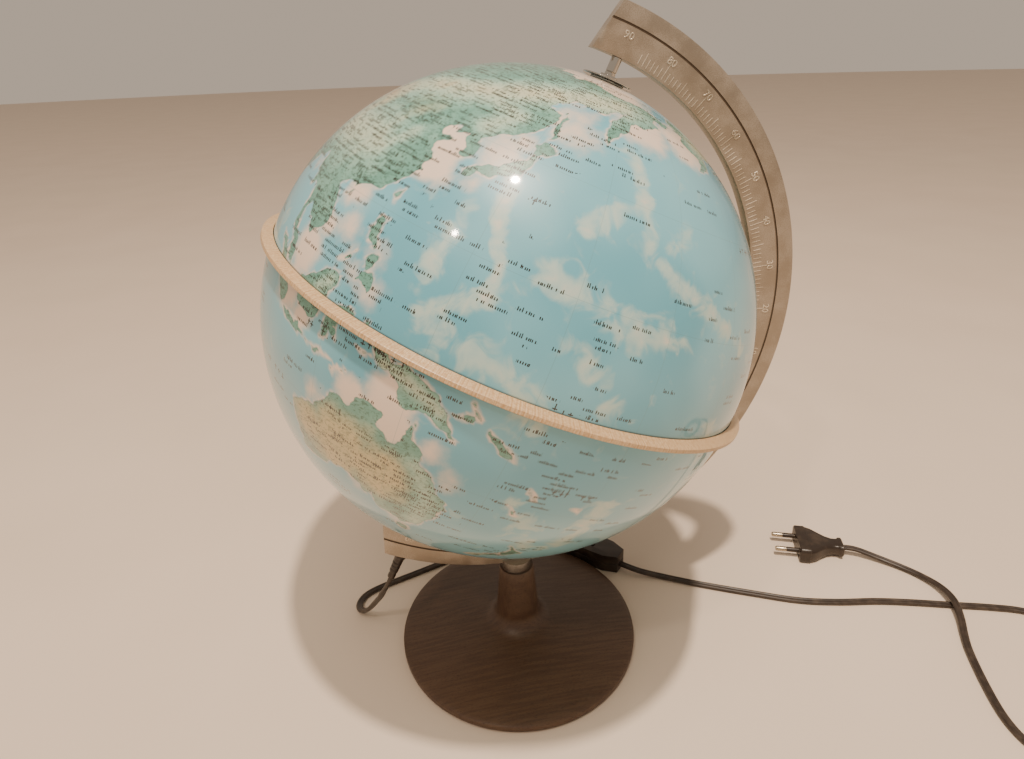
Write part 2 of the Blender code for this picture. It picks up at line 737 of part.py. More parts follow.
def smooth_route(points, spacing):
    """Points about spacing apart on one smooth curve through all the given ones."""
    nodes = [Vector(point) for point in points]
    nodes = [2 * nodes[0] - nodes[1], *nodes, 2 * nodes[-1] - nodes[-2]]
    fine = []
    for before, start, end, after in zip(nodes, nodes[1:], nodes[2:], nodes[3:]):
        for step in range(16):
            t = step / 16
            fine.append(
                0.5
                * (
                    2 * start
                    + (end - before) * t
                    + (2 * before - 5 * start + 4 * end - after) * t**2
                    + (3 * start - before - 3 * end + after) * t**3
                )
            )
    fine.append(nodes[-2])
    lengths = [0.0]
    for start, end in zip(fine, fine[1:]):
        lengths.append(lengths[-1] + (end - start).length)
    count = max(2, round(lengths[-1] / spacing))
    route = []
    index = 0
    for step in range(count + 1):
        target = lengths[-1] * step / count
        while index < len(lengths) - 2 and lengths[index + 1] < target:
            index += 1
        share = (target - lengths[index]) / (lengths[index + 1] - lengths[index])
        route.append(fine[index].lerp(fine[index + 1], share))
    return route


def build_cord(black):
    """Three stretches of the lead and the coil of its spare length."""

    def switch_end(side, outward):
        x = side * (SWITCH_HALF_LENGTH + outward)
        turn = Matrix.Rotation(SWITCH_HEADING, 3, "Z")
        return Vector((*SWITCH_MIDDLE, 5.6)) + turn @ Vector((x, 0.0, 0.0))

    plug_way = Vector((math.cos(PLUG_HEADING), math.sin(PLUG_HEADING), 0.0))
    plug_end = Vector((*PLUG_FRONT, PLUG_LIFT)) + plug_way * (PLUG_LENGTH + GAP)
    stretches = {
        "cord_lamp_side": [*LAMP_SIDE_ROUTE, switch_end(-1, 7.0), switch_end(-1, GAP)],
        "cord_switch_side": [switch_end(1, GAP), switch_end(1, 7.0), *SWITCH_SIDE_ROUTE],
        "cord_plug_side": [plug_end, plug_end + plug_way * 6.0, *PLUG_SIDE_ROUTE],
    }
    for name, route in stretches.items():
        tube(name, smooth_route(route, CORD_SPACING), CORD_TUBE_RADIUS, black)
    holder = frame_at("coil_frame", (*COIL_MIDDLE, 0.0))
    low = 0.3
    ring = [
        (COIL_OUTER - 1.0, COIL_HEIGHT),
        (COIL_OUTER, COIL_HEIGHT - 1.0),
        (COIL_OUTER, low + 1.0),
        (COIL_OUTER - 1.0, low),
        (COIL_INNER, low),
        (COIL_INNER, COIL_HEIGHT),
    ]
    turned("cord_coil", ring, black, holder, 32)


def main():
    """Build the whole globe."""
    clear_scene()
    wood = finish("dark_walnut", (0.060, 0.028, 0.014), 0.42)
    felt = finish("black_felt", (0.020, 0.020, 0.022), 0.95)
    steel = finish("zinc_steel", (0.50, 0.50, 0.52), 0.40, 1.0)
    chrome = finish("chrome", (0.70, 0.70, 0.72), 0.12, 1.0)
    metal = finish("champagne_metal", (0.34, 0.27, 0.21), 0.38, 0.8)
    paint = finish("printed_map_blue", (0.12, 0.44, 0.52), 0.18)
    tan = finish("tan_plastic", (0.60, 0.40, 0.22), 0.35)
    white = finish("white_plastic", (0.75, 0.74, 0.70), 0.40)
    black = finish("dark_brown_plastic", (0.030, 0.022, 0.018), 0.38)
    glossy = finish("black_rocker_plastic", (0.024, 0.018, 0.015), 0.30)
    brass = finish("brass", (0.62, 0.42, 0.14), 0.30, 1.0)
    nickel = finish("nickel", (0.62, 0.60, 0.56), 0.22, 1.0)
    glass = finish("opal_glass", (0.85, 0.84, 0.80), 0.20)
    copper = finish("copper_wire", (0.60, 0.28, 0.16), 0.35, 1.0)

    build_foot(wood, felt, steel, chrome)
    polar = frame_at("polar_frame", BALL_MIDDLE, (0.0, AXIS_TILT, 0.0))
    build_arm(metal, polar)
    build_pole_fittings(chrome, steel, black, polar)
    build_lamp(black, brass, glass, copper, polar)
    ball = frame_at("ball_axis", BALL_MIDDLE, (0.0, AXIS_TILT, 0.0))
    build_ball(paint, tan, white, chrome, ball)
    build_switch(black, glossy, brass, steel)
    build_plug(black, nickel)
    build_cord(black)

    for obj in MODEL.objects:
        if obj.type == "MESH":
            smooth_by_angle(obj.data)
    bpy.context.view_layer.update()


main()
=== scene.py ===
"""Looks of a 30 cm illuminated desk globe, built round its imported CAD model.

The frame is the model's own: metres, +Z up, origin on the table under the middle of the foot. Sizes are
written in millimetres and scaled by MM. The polar frame has its Z along the ball's axis and its X on the
arm's side, in the plane of the arm.
"""

import logging
import math
from collections.abc import Iterable, Sequence
from dataclasses import dataclass, field
from enum import Enum

import bmesh
import bpy
import numpy as np
from mathutils import Matrix, Vector, noise
from mathutils.kdtree import KDTree


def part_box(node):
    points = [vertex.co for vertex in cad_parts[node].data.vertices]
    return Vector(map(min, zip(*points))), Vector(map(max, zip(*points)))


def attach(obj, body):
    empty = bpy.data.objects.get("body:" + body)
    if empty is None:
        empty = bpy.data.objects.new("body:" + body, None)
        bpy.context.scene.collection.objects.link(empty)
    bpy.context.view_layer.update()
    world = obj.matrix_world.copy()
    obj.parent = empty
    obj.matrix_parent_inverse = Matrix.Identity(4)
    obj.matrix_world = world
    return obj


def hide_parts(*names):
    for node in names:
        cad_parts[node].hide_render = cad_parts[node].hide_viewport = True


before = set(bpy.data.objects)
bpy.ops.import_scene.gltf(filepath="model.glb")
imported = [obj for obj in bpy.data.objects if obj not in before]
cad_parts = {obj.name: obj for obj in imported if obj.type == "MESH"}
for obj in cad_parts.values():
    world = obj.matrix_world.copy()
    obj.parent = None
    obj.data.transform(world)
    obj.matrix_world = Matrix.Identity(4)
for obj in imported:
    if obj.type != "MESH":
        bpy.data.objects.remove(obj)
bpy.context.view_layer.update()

LOG = logging.getLogger("desk_globe")
Point = Sequence[float]
Socket = bpy.types.NodeSocket
Value = Socket | float | int | str | Sequence[float] | None
MM = 0.001
TILT = math.radians(25.0)  # the ball's axis from upright
AXIS = Vector((math.sin(TILT), 0.0, math.cos(TILT)))
BALL_MIDDLE = Vector((0.0, 0.0, 262.0))
POLAR = Matrix.Translation(BALL_MIDDLE * MM) @ Matrix.Rotation(TILT, 4, "Y")
SHARP = math.radians(32.0)  # edges over this angle stay crisp
UPRIGHT = Matrix.Identity(4)
WELD = 2e-6  # metres within which vertices are one
RGBA = {"data_type": "RGBA", "output": 2}  # a Mix node's settings for colours, whose inputs are 6 and 7
SMOOTH = {"interpolation_type": "SMOOTHSTEP"}


class Body(Enum):
    """The CAD bodies that a piece can ride on."""

    STAND = "stand"
    BALL = "ball"
    ROCKER = "rocker"


class Half(Enum):
    """The halves of the ball, by the sign of their latitude."""

    NORTH = 1
    SOUTH = -1


def linear(colour: str) -> tuple[float, float, float, float]:
    """Turn an sRGB hex colour into linear red, green, blue and alpha.

    Args:
        colour: six hex digits.

    Returns:
        The linear colour, opaque.
    """
    parts = [int(colour[index : index + 2], 16) / 255 for index in (0, 2, 4)]
    red, green, blue = (part / 12.92 if part <= 0.04045 else ((part + 0.055) / 1.055) ** 2.4 for part in parts)
    return red, green, blue, 1.0


def per_mm(size: float) -> float:
    """The scale at which a texture on Object coordinates repeats about every size millimetres."""
    return 1.0 / (size * MM)


class NodeSheet:
    """The nodes of one material round its Principled shader."""

    def __init__(self, name: str) -> None:
        """Start the material.

        Args:
            name: the material's name.
        """
        self.material = bpy.data.materials.new(name)
        self.material.use_nodes = True
        self.tree = self.material.node_tree
        self.shader = self.tree.nodes["Principled BSDF"]
        self.place = self.add("TexCoord", output="Object")

    def add(
        self,
        kind: str,
        *values: Value,
        output: int | str = 0,
        at: dict[int, Value] | None = None,
        stops: Sequence[tuple[float, str | float]] = (),
        **settings: Value,
    ) -> Socket:
        """Add a node, set it up and link it.

        Args:
            kind: the node's type, without its ShaderNode prefix.
            values: for each input in turn a socket to link, a value, or None to leave it.
            output: which output to return.
            at: more inputs, by their index.
            stops: the positions of a colour ramp, each with a hex colour or a grey level.
            settings: attributes of the node in lower case, or its inputs by name.

        Returns:
            The output socket asked for.
        """
        node = self.tree.nodes.new("ShaderNode" + kind)
        wanted = dict(enumerate(values)) | (at or {})
        for key, value in settings.items():
            if key[0].islower():
                setattr(node, key, value)
            else:
                wanted[key] = value
        if stops:
            ramp = node.color_ramp.elements
            while len(ramp) < len(stops):
                ramp.new(1.0)
            for element, (position, shade) in zip(ramp, stops):
                element.position = position
                element.color = linear(shade) if isinstance(shade, str) else (shade, shade, shade, 1.0)
        self.fill(node, wanted)
        return node.outputs[output]

    def fill(self, node: bpy.types.Node, wanted: dict[int | str, Value]) -> None:
        """Link or set a node's inputs.

        Args:
            node: the node.
            wanted: a socket, a value or a hex colour for each input's index or name.
        """
        for key, value in wanted.items():
            socket = node.inputs[key]
            if isinstance(value, Socket):
                self.tree.links.new(value, socket)
            elif value is not None:
                socket.default_value = linear(value) if isinstance(value, str) else value

    def finish(self, **shader_inputs: Value) -> bpy.types.Material:
        """Fill in the shader.

        Args:
            shader_inputs: its inputs by name, with underscores for spaces.

        Returns:
            The finished material.
        """
        self.fill(self.shader, {key.replace("_", " "): value for key, value in shader_inputs.items()})
        return self.material


@dataclass(frozen=True)
class Metal:
    """A bare or lacquered metal. The eye gets sharp reflections, dulled by fine marks from its making."""

    name: str
    colour: str
    roughness: float
    mark_size: float = 0.6  # millimetres between the marks
    mark_depth: float = 0.004
    uneven: float = 0.08  # how much the roughness wanders
    dark: str = ""
    coat: float = 0.0
    metallic: float = 1.0

    def build(self) -> bpy.types.Material:
        """Make the material.

        Returns:
            The material.
        """
        sheet = NodeSheet(self.name)
        marks = sheet.add("TexNoise", Vector=sheet.place, Scale=per_mm(self.mark_size), Detail=4.0)
        clouds = sheet.add("TexNoise", Vector=sheet.place, Scale=per_mm(14.0), Detail=3.0)
        share = sheet.add("Math", marks, clouds, operation="MULTIPLY")
        share = sheet.add("MapRange", share, 0.15, 0.40, **SMOOTH)
        colour = sheet.add("Mix", share, at={6: self.dark or self.colour, 7: self.colour}, **RGBA)
        low, high = self.roughness - self.uneven, self.roughness + self.uneven
        rough = sheet.add("MapRange", clouds, 0.3, 0.7, low, high)
        normal = sheet.add("Bump", 0.6, self.mark_depth * MM, Height=marks)
        return sheet.finish(
            Base_Color=colour, Roughness=rough, Normal=normal, Metallic=self.metallic, Coat_Weight=self.coat
        )


@dataclass(frozen=True)
class MouldedPlastic:
    """A moulded thermoplastic. The eye gets a soft broad gloss over the fine texture of the mould."""

    name: str
    colour: str
    worn: str
    roughness: float
    texture_size: float = 0.7
    texture_depth: float = 0.02
    ior: float = 1.49

    def build(self) -> bpy.types.Material:
        """Make the material.

        Returns:
            The material.
        """
        sheet = NodeSheet(self.name)
        texture = sheet.add("TexNoise", Vector=sheet.place, Scale=per_mm(self.texture_size), Detail=2.0)
        handling = sheet.add("TexNoise", Vector=sheet.place, Scale=per_mm(9.0), Detail=4.0)
        share = sheet.add("MapRange", handling, 0.42, 0.72, **SMOOTH)
        colour = sheet.add("Mix", share, at={6: self.colour, 7: self.worn}, **RGBA)
        rough = sheet.add("MapRange", handling, 0.3, 0.7, self.roughness - 0.06, self.roughness + 0.08)
        normal = sheet.add("Bump", 0.5, self.texture_depth * MM, Height=texture)
        return sheet.finish(Base_Color=colour, Roughness=rough, Normal=normal, IOR=self.ior)


@dataclass(frozen=True)
class FlexPvc:
    """Plasticised PVC of the flat twin lead. The eye gets a waxy sheen and faint drawing lines."""

    name: str = "dark_brown_pvc"
    colour: str = "2E241D"
    dusty: str = "44382E"

    def build(self) -> bpy.types.Material:
        """Make the material.

        Returns:
            The material.
        """
        sheet = NodeSheet(self.name)
        dust = sheet.add("TexNoise", Vector=sheet.place, Scale=per_mm(6.0), Detail=5.0)
        fine = sheet.add("TexNoise", Vector=sheet.place, Scale=per_mm(0.9), Detail=2.0)
        share = sheet.add("MapRange", dust, 0.4, 0.75, **SMOOTH)
        colour = sheet.add("Mix", share, at={6: self.colour, 7: self.dusty}, **RGBA)
        rough = sheet.add("MapRange", dust, 0.3, 0.7, 0.34, 0.5)
        normal = sheet.add("Bump", 0.4, 0.03 * MM, Height=fine)
        return sheet.finish(Base_Color=colour, Roughness=rough, Normal=normal, IOR=1.53)


@dataclass(frozen=True)
class StainedBeech:
    """Beech, stained dark walnut and satin lacquered. The eye gets fine flecks along straight grain."""

    name: str = "walnut_stained_beech"
    colour: str = "56402F"
    dark: str = "4A3527"
    fleck: str = "33241A"
    grain_width: float = 1.9
    fleck_width: float = 0.45  # real rays are half as wide; drawn coarser so that they show

    def build(self) -> bpy.types.Material:
        """Make the material.

        Returns:
            The material.
        """
        sheet = NodeSheet(self.name)
        stretched = sheet.add("Mapping", sheet.place, Scale=(0.06, 1.0, 0.3), Rotation=(0.0, 0.0, 0.35))
        grain = sheet.add("TexNoise", Vector=stretched, Scale=per_mm(self.grain_width), Detail=6.0)
        share = sheet.add("MapRange", grain, 0.36, 0.64, **SMOOTH)
        colour = sheet.add("Mix", share, at={6: self.dark, 7: self.colour}, **RGBA)
        short = sheet.add("Mapping", sheet.place, Scale=(0.22, 1.0, 0.6), Rotation=(0.0, 0.0, 0.35))
        flecks = sheet.add("TexNoise", Vector=short, Scale=per_mm(self.fleck_width), Detail=2.0)
        share = sheet.add("MapRange", flecks, 0.56, 0.72, 0.0, 0.7, **SMOOTH)
        colour = sheet.add("Mix", share, at={6: colour, 7: self.fleck}, **RGBA)
        rough = sheet.add("MapRange", flecks, 0.3, 0.7, 0.40, 0.54)
        normal = sheet.add("Bump", 0.5, 0.03 * MM, Height=flecks)
        return sheet.finish(
            Base_Color=colour, Roughness=rough, Normal=normal, Coat_Weight=0.1, Coat_Roughness=0.4, IOR=1.5
        )


@dataclass(frozen=True)
class PressedFelt:
    """Pressed wool felt. The eye gets a matt, fuzzy surface with short crossed fibres."""

    name: str = "black_pressed_felt"

    def build(self) -> bpy.types.Material:
        """Make the material.

        Returns:
            The material.
        """
        sheet = NodeSheet(self.name)
        fibres = sheet.add("TexNoise", Vector=sheet.place, Scale=per_mm(0.5), Detail=4.0, Distortion=1.5)
        colour = sheet.add("ValToRGB", fibres, stops=[(0.35, "141415"), (0.7, "2C2C2E")])
        normal = sheet.add("Bump", 0.8, 0.1 * MM, Height=fibres)
        return sheet.finish(Base_Color=colour, Roughness=0.95, Normal=normal, Sheen_Weight=0.4)


@dataclass(frozen=True)
class OpalGlass:
    """Opal lamp glass. The eye gets a milky, evenly diffusing surface under a smooth gloss."""

    name: str = "opal_glass"

    def build(self) -> bpy.types.Material:
        """Make the material.

        Returns:
            The material.
        """
        sheet = NodeSheet(self.name)
        streaks = sheet.add("TexNoise", Vector=sheet.place, Scale=per_mm(8.0), Detail=2.0)
        colour = sheet.add("ValToRGB", streaks, stops=[(0.3, "E4E1D8"), (0.7, "F2F0EA")])
        rough = sheet.add("MapRange", streaks, 0.3, 0.7, 0.08, 0.16)
        return sheet.finish(Base_Color=colour, Roughness=rough, Subsurface_Weight=0.3, IOR=1.52)


@dataclass(frozen=True)
class BandPlastic:
    """Ivory polystyrene band, aged to tan. The eye gets a satin face and ribs on its outer edge, with a painted
    highlight on their crests.
    """

    name: str = "tan_polystyrene_band"
    colour: str = "C9AD86"
    dark: str = "AF8A60"
    ribs: int = 540

    def build(self) -> bpy.types.Material:
        """Make the material.

        Returns:
            The material.
        """
        sheet = NodeSheet(self.name)
        turn = sheet.add("Attribute", attribute_name="turn", output="Fac")
        edge = sheet.add("Attribute", attribute_name="edge", output="Fac")
        wave = sheet.add("Math", turn, math.tau * self.ribs, operation="MULTIPLY")
        wave = sheet.add("Math", wave, operation="SINE")
        ribs = sheet.add("Math", wave, edge, operation="MULTIPLY")
        along = sheet.add("Math", turn, 90.0, operation="MULTIPLY")
        brush = sheet.add("TexNoise", W=along, noise_dimensions="1D", Scale=14.0, Detail=4.0)
        speck = sheet.add("TexNoise", Vector=sheet.place, Scale=per_mm(1.1), Detail=4.0)
        both = sheet.add("Math", brush, speck, operation="MULTIPLY")
        share = sheet.add("MapRange", both, 0.12, 0.36, **SMOOTH)
        colour = sheet.add("Mix", share, at={6: self.dark, 7: self.colour}, **RGBA)
        # Painted highlight: the crests of the ribs on the outer edge are mixed towards a pale cream.
        pale = sheet.add("Math", ribs, 0.14, operation="MULTIPLY", use_clamp=True)
        colour = sheet.add("Mix", pale, at={6: colour, 7: "F0DDBE"}, **RGBA)
        height = sheet.add("Math", ribs, speck, operation="ADD")
        normal = sheet.add("Bump", 0.5, 0.03 * MM, Height=height)
        return sheet.finish(Base_Color=colour, Roughness=0.36, Normal=normal, IOR=1.59)


@dataclass(frozen=True)
class PrintedMap:
    """Printed polystyrene under clear lacquer. The eye gets matt relief colours below a hard wet gloss.

    Relief comes from attributes: coast is degrees inland of the shore, negative at sea; tall and dry are
    the land's height and drought; shoal is how shallow the sea is; crowd is how thick the print marks lie.
    """

    name: str = "lacquered_printed_map"
    deep: str = "5FA5B8"
    sea: str = "7BB9C8"
    cloud: str = "BACDC0"
    shallow: str = "E3CDB9"
    lowland: str = "82B0A0"
    ink: str = "24231F"
    row_height: float = 1.3  # degrees between rows of print marks
    cell: float = 7.0  # degrees that one name may take
    letter: float = 0.4  # degrees between strokes, about a millimetre on the ball

    def sea_colour(self, sheet: NodeSheet) -> Socket:
        """The sea: turquoise, with deeper hollows, cloudy pale rises and cream shallows.

        Args:
            sheet: the material's nodes.

        Returns:
            The colour.
        """
        wide = sheet.add("TexNoise", Vector=sheet.place, Scale=per_mm(85.0), Detail=2.0)
        share = sheet.add("MapRange", wide, 0.38, 0.6, **SMOOTH)
        colour = sheet.add("Mix", share, at={6: self.deep, 7: self.sea}, **RGBA)
        puffs = sheet.add(
            "TexNoise", Vector=sheet.place, Scale=per_mm(12.0), Detail=3.0, Roughness=0.5, Distortion=0.9
        )
        rise = sheet.add("Attribute", attribute_name="rise", output="Fac")
        lift = sheet.add("Math", puffs, rise, operation="ADD")
        share = sheet.add("MapRange", lift, 0.60, 0.92, 0.0, 0.75, **SMOOTH)
        colour = sheet.add("Mix", share, at={6: colour, 7: self.cloud}, **RGBA)
        share = sheet.add("MapRange", lift, 0.88, 1.15, 0.0, 0.6, **SMOOTH)
        colour = sheet.add("Mix", share, at={6: colour, 7: self.shallow}, **RGBA)
        shoal = sheet.add("Attribute", attribute_name="shoal", output="Fac")
        edge = sheet.add("TexNoise", Vector=sheet.place, Scale=per_mm(9.0), Detail=3.0)
        shoal = sheet.add("Math", edge, 0.5, shoal, operation="MULTIPLY_ADD")
        share = sheet.add("MapRange", shoal, 0.55, 1.0, 0.0, 0.95, **SMOOTH)
        return sheet.add("Mix", share, at={6: colour, 7: self.shallow}, **RGBA)

    def land_colour(self, sheet: NodeSheet, lat: Socket) -> Socket:
        """The land: green lowland through straw and ochre to brown ranges, with hatched relief and polar ice.

        Args:
            sheet: the material's nodes.
            lat: the latitude in degrees.

        Returns:
            The colour.
        """
        tall = sheet.add("Attribute", attribute_name="tall", output="Fac")
        dry = sheet.add("Attribute", attribute_name="dry", output="Fac")
        patch = sheet.add("TexNoise", Vector=sheet.place, Scale=per_mm(13.0), Detail=4.0)
        patch = sheet.add("Math", patch, 0.55, -0.27, operation="MULTIPLY_ADD")
        height = sheet.add("Math", tall, patch, operation="ADD")
        green = sheet.add(
            "ValToRGB",
            height,
            stops=[(0.0, "64998A"), (0.16, self.lowland), (0.42, "A5C2AE"), (0.66, "BCC8AE"), (0.95, "C2B892")],
        )
        thirst = sheet.add("Math", dry, patch, operation="ADD")
        share = sheet.add("MapRange", thirst, 0.25, 0.75, **SMOOTH)
        sand = sheet.add("ValToRGB", height, stops=[(0.0, "C6B98A"), (0.3, "D3B987"), (0.7, "B98F5F")])
        colour = sheet.add("Mix", share, at={6: green, 7: sand}, **RGBA)
        slanted = sheet.add("Mapping", sheet.place, Scale=(1.0, 0.45, 1.3), Rotation=(0.4, 0.2, 0.7))
        hatch = sheet.add("TexNoise", Vector=slanted, Scale=per_mm(2.0), Detail=4.0, Distortion=1.2)
        share = sheet.add("MapRange", hatch, 0.46, 0.70, 0.0, 0.62, **SMOOTH)
        colour = sheet.add("Mix", share, at={6: colour, 7: "4C6B5C"}, **RGBA, blend_type="MULTIPLY")
        ice = sheet.add("MapRange", lat, -66.0, -60.0, 0.85, 0.0, **SMOOTH)
        return sheet.add("Mix", ice, at={6: colour, 7: self.shallow}, **RGBA)

    def print_marks(
        self,
        sheet: NodeSheet,
        lon: Socket,
        lat: Socket,
        row_height: float,
        cell: float,
        letter: float,
        stroke: float,
        seed: float,
    ) -> tuple[Socket, Socket]:
        """Rows of small upright strokes that stand where a map has its names, and spell nothing.

        Args:
            sheet: the material's nodes.
            lon: the longitude in degrees.
            lat: the latitude in degrees.
            row_height: degrees between rows.
            cell: degrees that one name may take.
            letter: degrees between strokes.
            stroke: half a stroke's width, as a share of the step between strokes.
            seed: what sets this layer's marks apart.

        Returns:
            The share of ink, and the random number of each name's cell.
        """
        rows = sheet.add("Math", lat, row_height, operation="DIVIDE")
        row = sheet.add("Math", rows, operation="FLOOR")
        up = sheet.add("Math", rows, operation="FRACT")
        level = sheet.add("Math", row, math.radians(row_height), operation="MULTIPLY")
        shrink = sheet.add("Math", level, operation="COSINE")
        shift = sheet.add("TexWhiteNoise", W=row, noise_dimensions="1D", output="Value")
        along = sheet.add("Math", lon, shrink, operation="MULTIPLY")
        along = sheet.add("Math", shift, 40.0, along, operation="MULTIPLY_ADD")
        names = sheet.add("Math", along, cell, operation="DIVIDE")
        name = sheet.add("Math", names, operation="FLOOR")
        where = sheet.add("Math", names, operation="FRACT")
        key = sheet.add("CombineXYZ", name, row, seed)
        pick = sheet.add("TexWhiteNoise", key, noise_dimensions="3D", output="Value")
        long = sheet.add("TexWhiteNoise", key, noise_dimensions="3D", output="Color")
        long = sheet.add("SeparateColor", long, output=1)
        reach = sheet.add("Math", long, 0.55, 0.3, operation="MULTIPLY_ADD")
        within = sheet.add("Math", where, reach, operation="LESS_THAN")
        places = sheet.add("Math", along, letter, operation="DIVIDE")
        place = sheet.add("Math", places, operation="FLOOR")
        across = sheet.add("Math", places, operation="FRACT")
        key = sheet.add("CombineXYZ", place, row, seed)
        shape = sheet.add("TexWhiteNoise", key, noise_dimensions="3D", output="Color")
        first, second, third = (sheet.add("SeparateColor", shape, output=index) for index in range(3))
        tip = sheet.add("MapRange", first, 0.6, 0.95, 0.62, 0.88)
        below = sheet.add("Math", up, tip, operation="LESS_THAN")
        above = sheet.add("Math", up, 0.22, operation="GREATER_THAN")
        spot = sheet.add("Math", second, 0.5, 0.2, operation="MULTIPLY_ADD")
        bar = sheet.add("Math", across, spot, stroke, operation="COMPARE")
        level = sheet.add("MapRange", third, 0.0, 1.0, 0.26, 0.55)
        level = sheet.add("Math", up, level, stroke * 0.5, operation="COMPARE")
        arm = sheet.add("Math", across, spot, 0.3, operation="COMPARE")
        cross = sheet.add("Math", level, arm, operation="MULTIPLY")
        bar = sheet.add("Math", bar, cross, operation="MAXIMUM")
        blank = sheet.add("Math", third, 0.12, operation="GREATER_THAN")
        ink = within
        for part in (below, above, bar, blank):
            ink = sheet.add("Math", ink, part, operation="MULTIPLY")
        return ink, pick

    def graticule(self, sheet: NodeSheet, lon: Socket, lat: Socket) -> Socket:
        """Thin lines at every twentieth degree of longitude and latitude.

        Args:
            sheet: the material's nodes.
            lon: the longitude in degrees.
            lat: the latitude in degrees.

        Returns:
            The share of the lines' colour.
        """
        lines = None
        for angle, half in ((lon, 0.06), (lat, 0.05)):
            step = sheet.add("Math", angle, 0.1, operation="MULTIPLY")
            step = sheet.add("Math", step, 1.0, operation="PINGPONG")
            mark = sheet.add("Math", step, 0.0, half * 0.1, operation="COMPARE")
            lines = mark if lines is None else sheet.add("Math", lines, mark, operation="MAXIMUM")
        return sheet.add("Math", lines, 0.3, operation="MULTIPLY")

    def build(self) -> bpy.types.Material:
        """Make the material.

        Returns:
            The material.
        """
        sheet = NodeSheet(self.name)
        places = sheet.add("UVMap", uv_map="graticule")
        lon, lat = (sheet.add("SeparateXYZ", places, output=axis) for axis in (0, 1))
        lon = sheet.add("Math", lon, 360.0, operation="MULTIPLY")
        lat = sheet.add("Math", lat, 180.0, -90.0, operation="MULTIPLY_ADD")

        coast = sheet.add("Attribute", attribute_name="coast", output="Fac")
        nibble = sheet.add("TexNoise", Vector=sheet.place, Scale=per_mm(4.0), Detail=3.0)
        nibble = sheet.add("Math", nibble, 0.9, -0.45, operation="MULTIPLY_ADD")
        shore = sheet.add("Math", coast, nibble, operation="ADD")
        land = sheet.add("MapRange", shore, -0.06, 0.06)
        sea, ground = self.sea_colour(sheet), self.land_colour(sheet, lat)
        colour = sheet.add("Mix", land, at={6: sea, 7: ground}, **RGBA)
        line = sheet.add("Math", shore, 0.0, 0.14, operation="COMPARE")
        line = sheet.add("Math", line, 0.45, operation="MULTIPLY")
        colour = sheet.add("Mix", line, at={6: colour, 7: "4E7F77"}, **RGBA)
        lines = self.graticule(sheet, lon, lat)
        colour = sheet.add("Mix", lines, at={6: colour, 7: "5E7F80"}, **RGBA)

        # Painted shade darkens the map in a thin strip along the equator band, where the band meets the ball.
        away = sheet.add("Math", lat, operation="ABSOLUTE")
        painted_band_shade = sheet.add("MapRange", away, 1.15, 1.55, 0.75, 0.0, **SMOOTH)
        colour = sheet.add("Mix", painted_band_shade, at={6: colour, 7: "3F4540"}, **RGBA)

        crowd = sheet.add("Attribute", attribute_name="crowd", output="Fac")
        row, cell, letter = self.row_height, self.cell, self.letter
        layers = (  # the marks' sizes and seed, the share of them that shows, and whether only land has them
            ((row, cell, letter, 0.23, 1.0), 0.9, False),
            ((row * 0.8, cell * 0.8, letter * 0.9, 0.21, 3.0), 0.9, True),
            ((row * 2.4, cell * 2.4, letter * 4.0, 0.07, 7.0), 0.13, False),
        )
        for sizes, share, land_only in layers:
            ink, pick = self.print_marks(sheet, lon, lat, *sizes)
            limit = sheet.add("Math", crowd, share, operation="MULTIPLY")
            if land_only:
                limit = sheet.add("Math", limit, land, operation="MULTIPLY")
            shown = sheet.add("Math", pick, limit, operation="LESS_THAN")
            ink = sheet.add("Math", ink, shown, operation="MULTIPLY")
            colour = sheet.add("Mix", ink, at={6: colour, 7: self.ink}, **RGBA)

        ripple = sheet.add("TexNoise", Vector=sheet.place, Scale=per_mm(30.0), Detail=1.0)
        rough = sheet.add("MapRange", ripple, 0.3, 0.7, 0.30, 0.42)
        return sheet.finish(
            Base_Color=colour, Roughness=rough, IOR=1.5, Coat_Weight=0.9, Coat_Roughness=0.06, Coat_IOR=1.5
        )
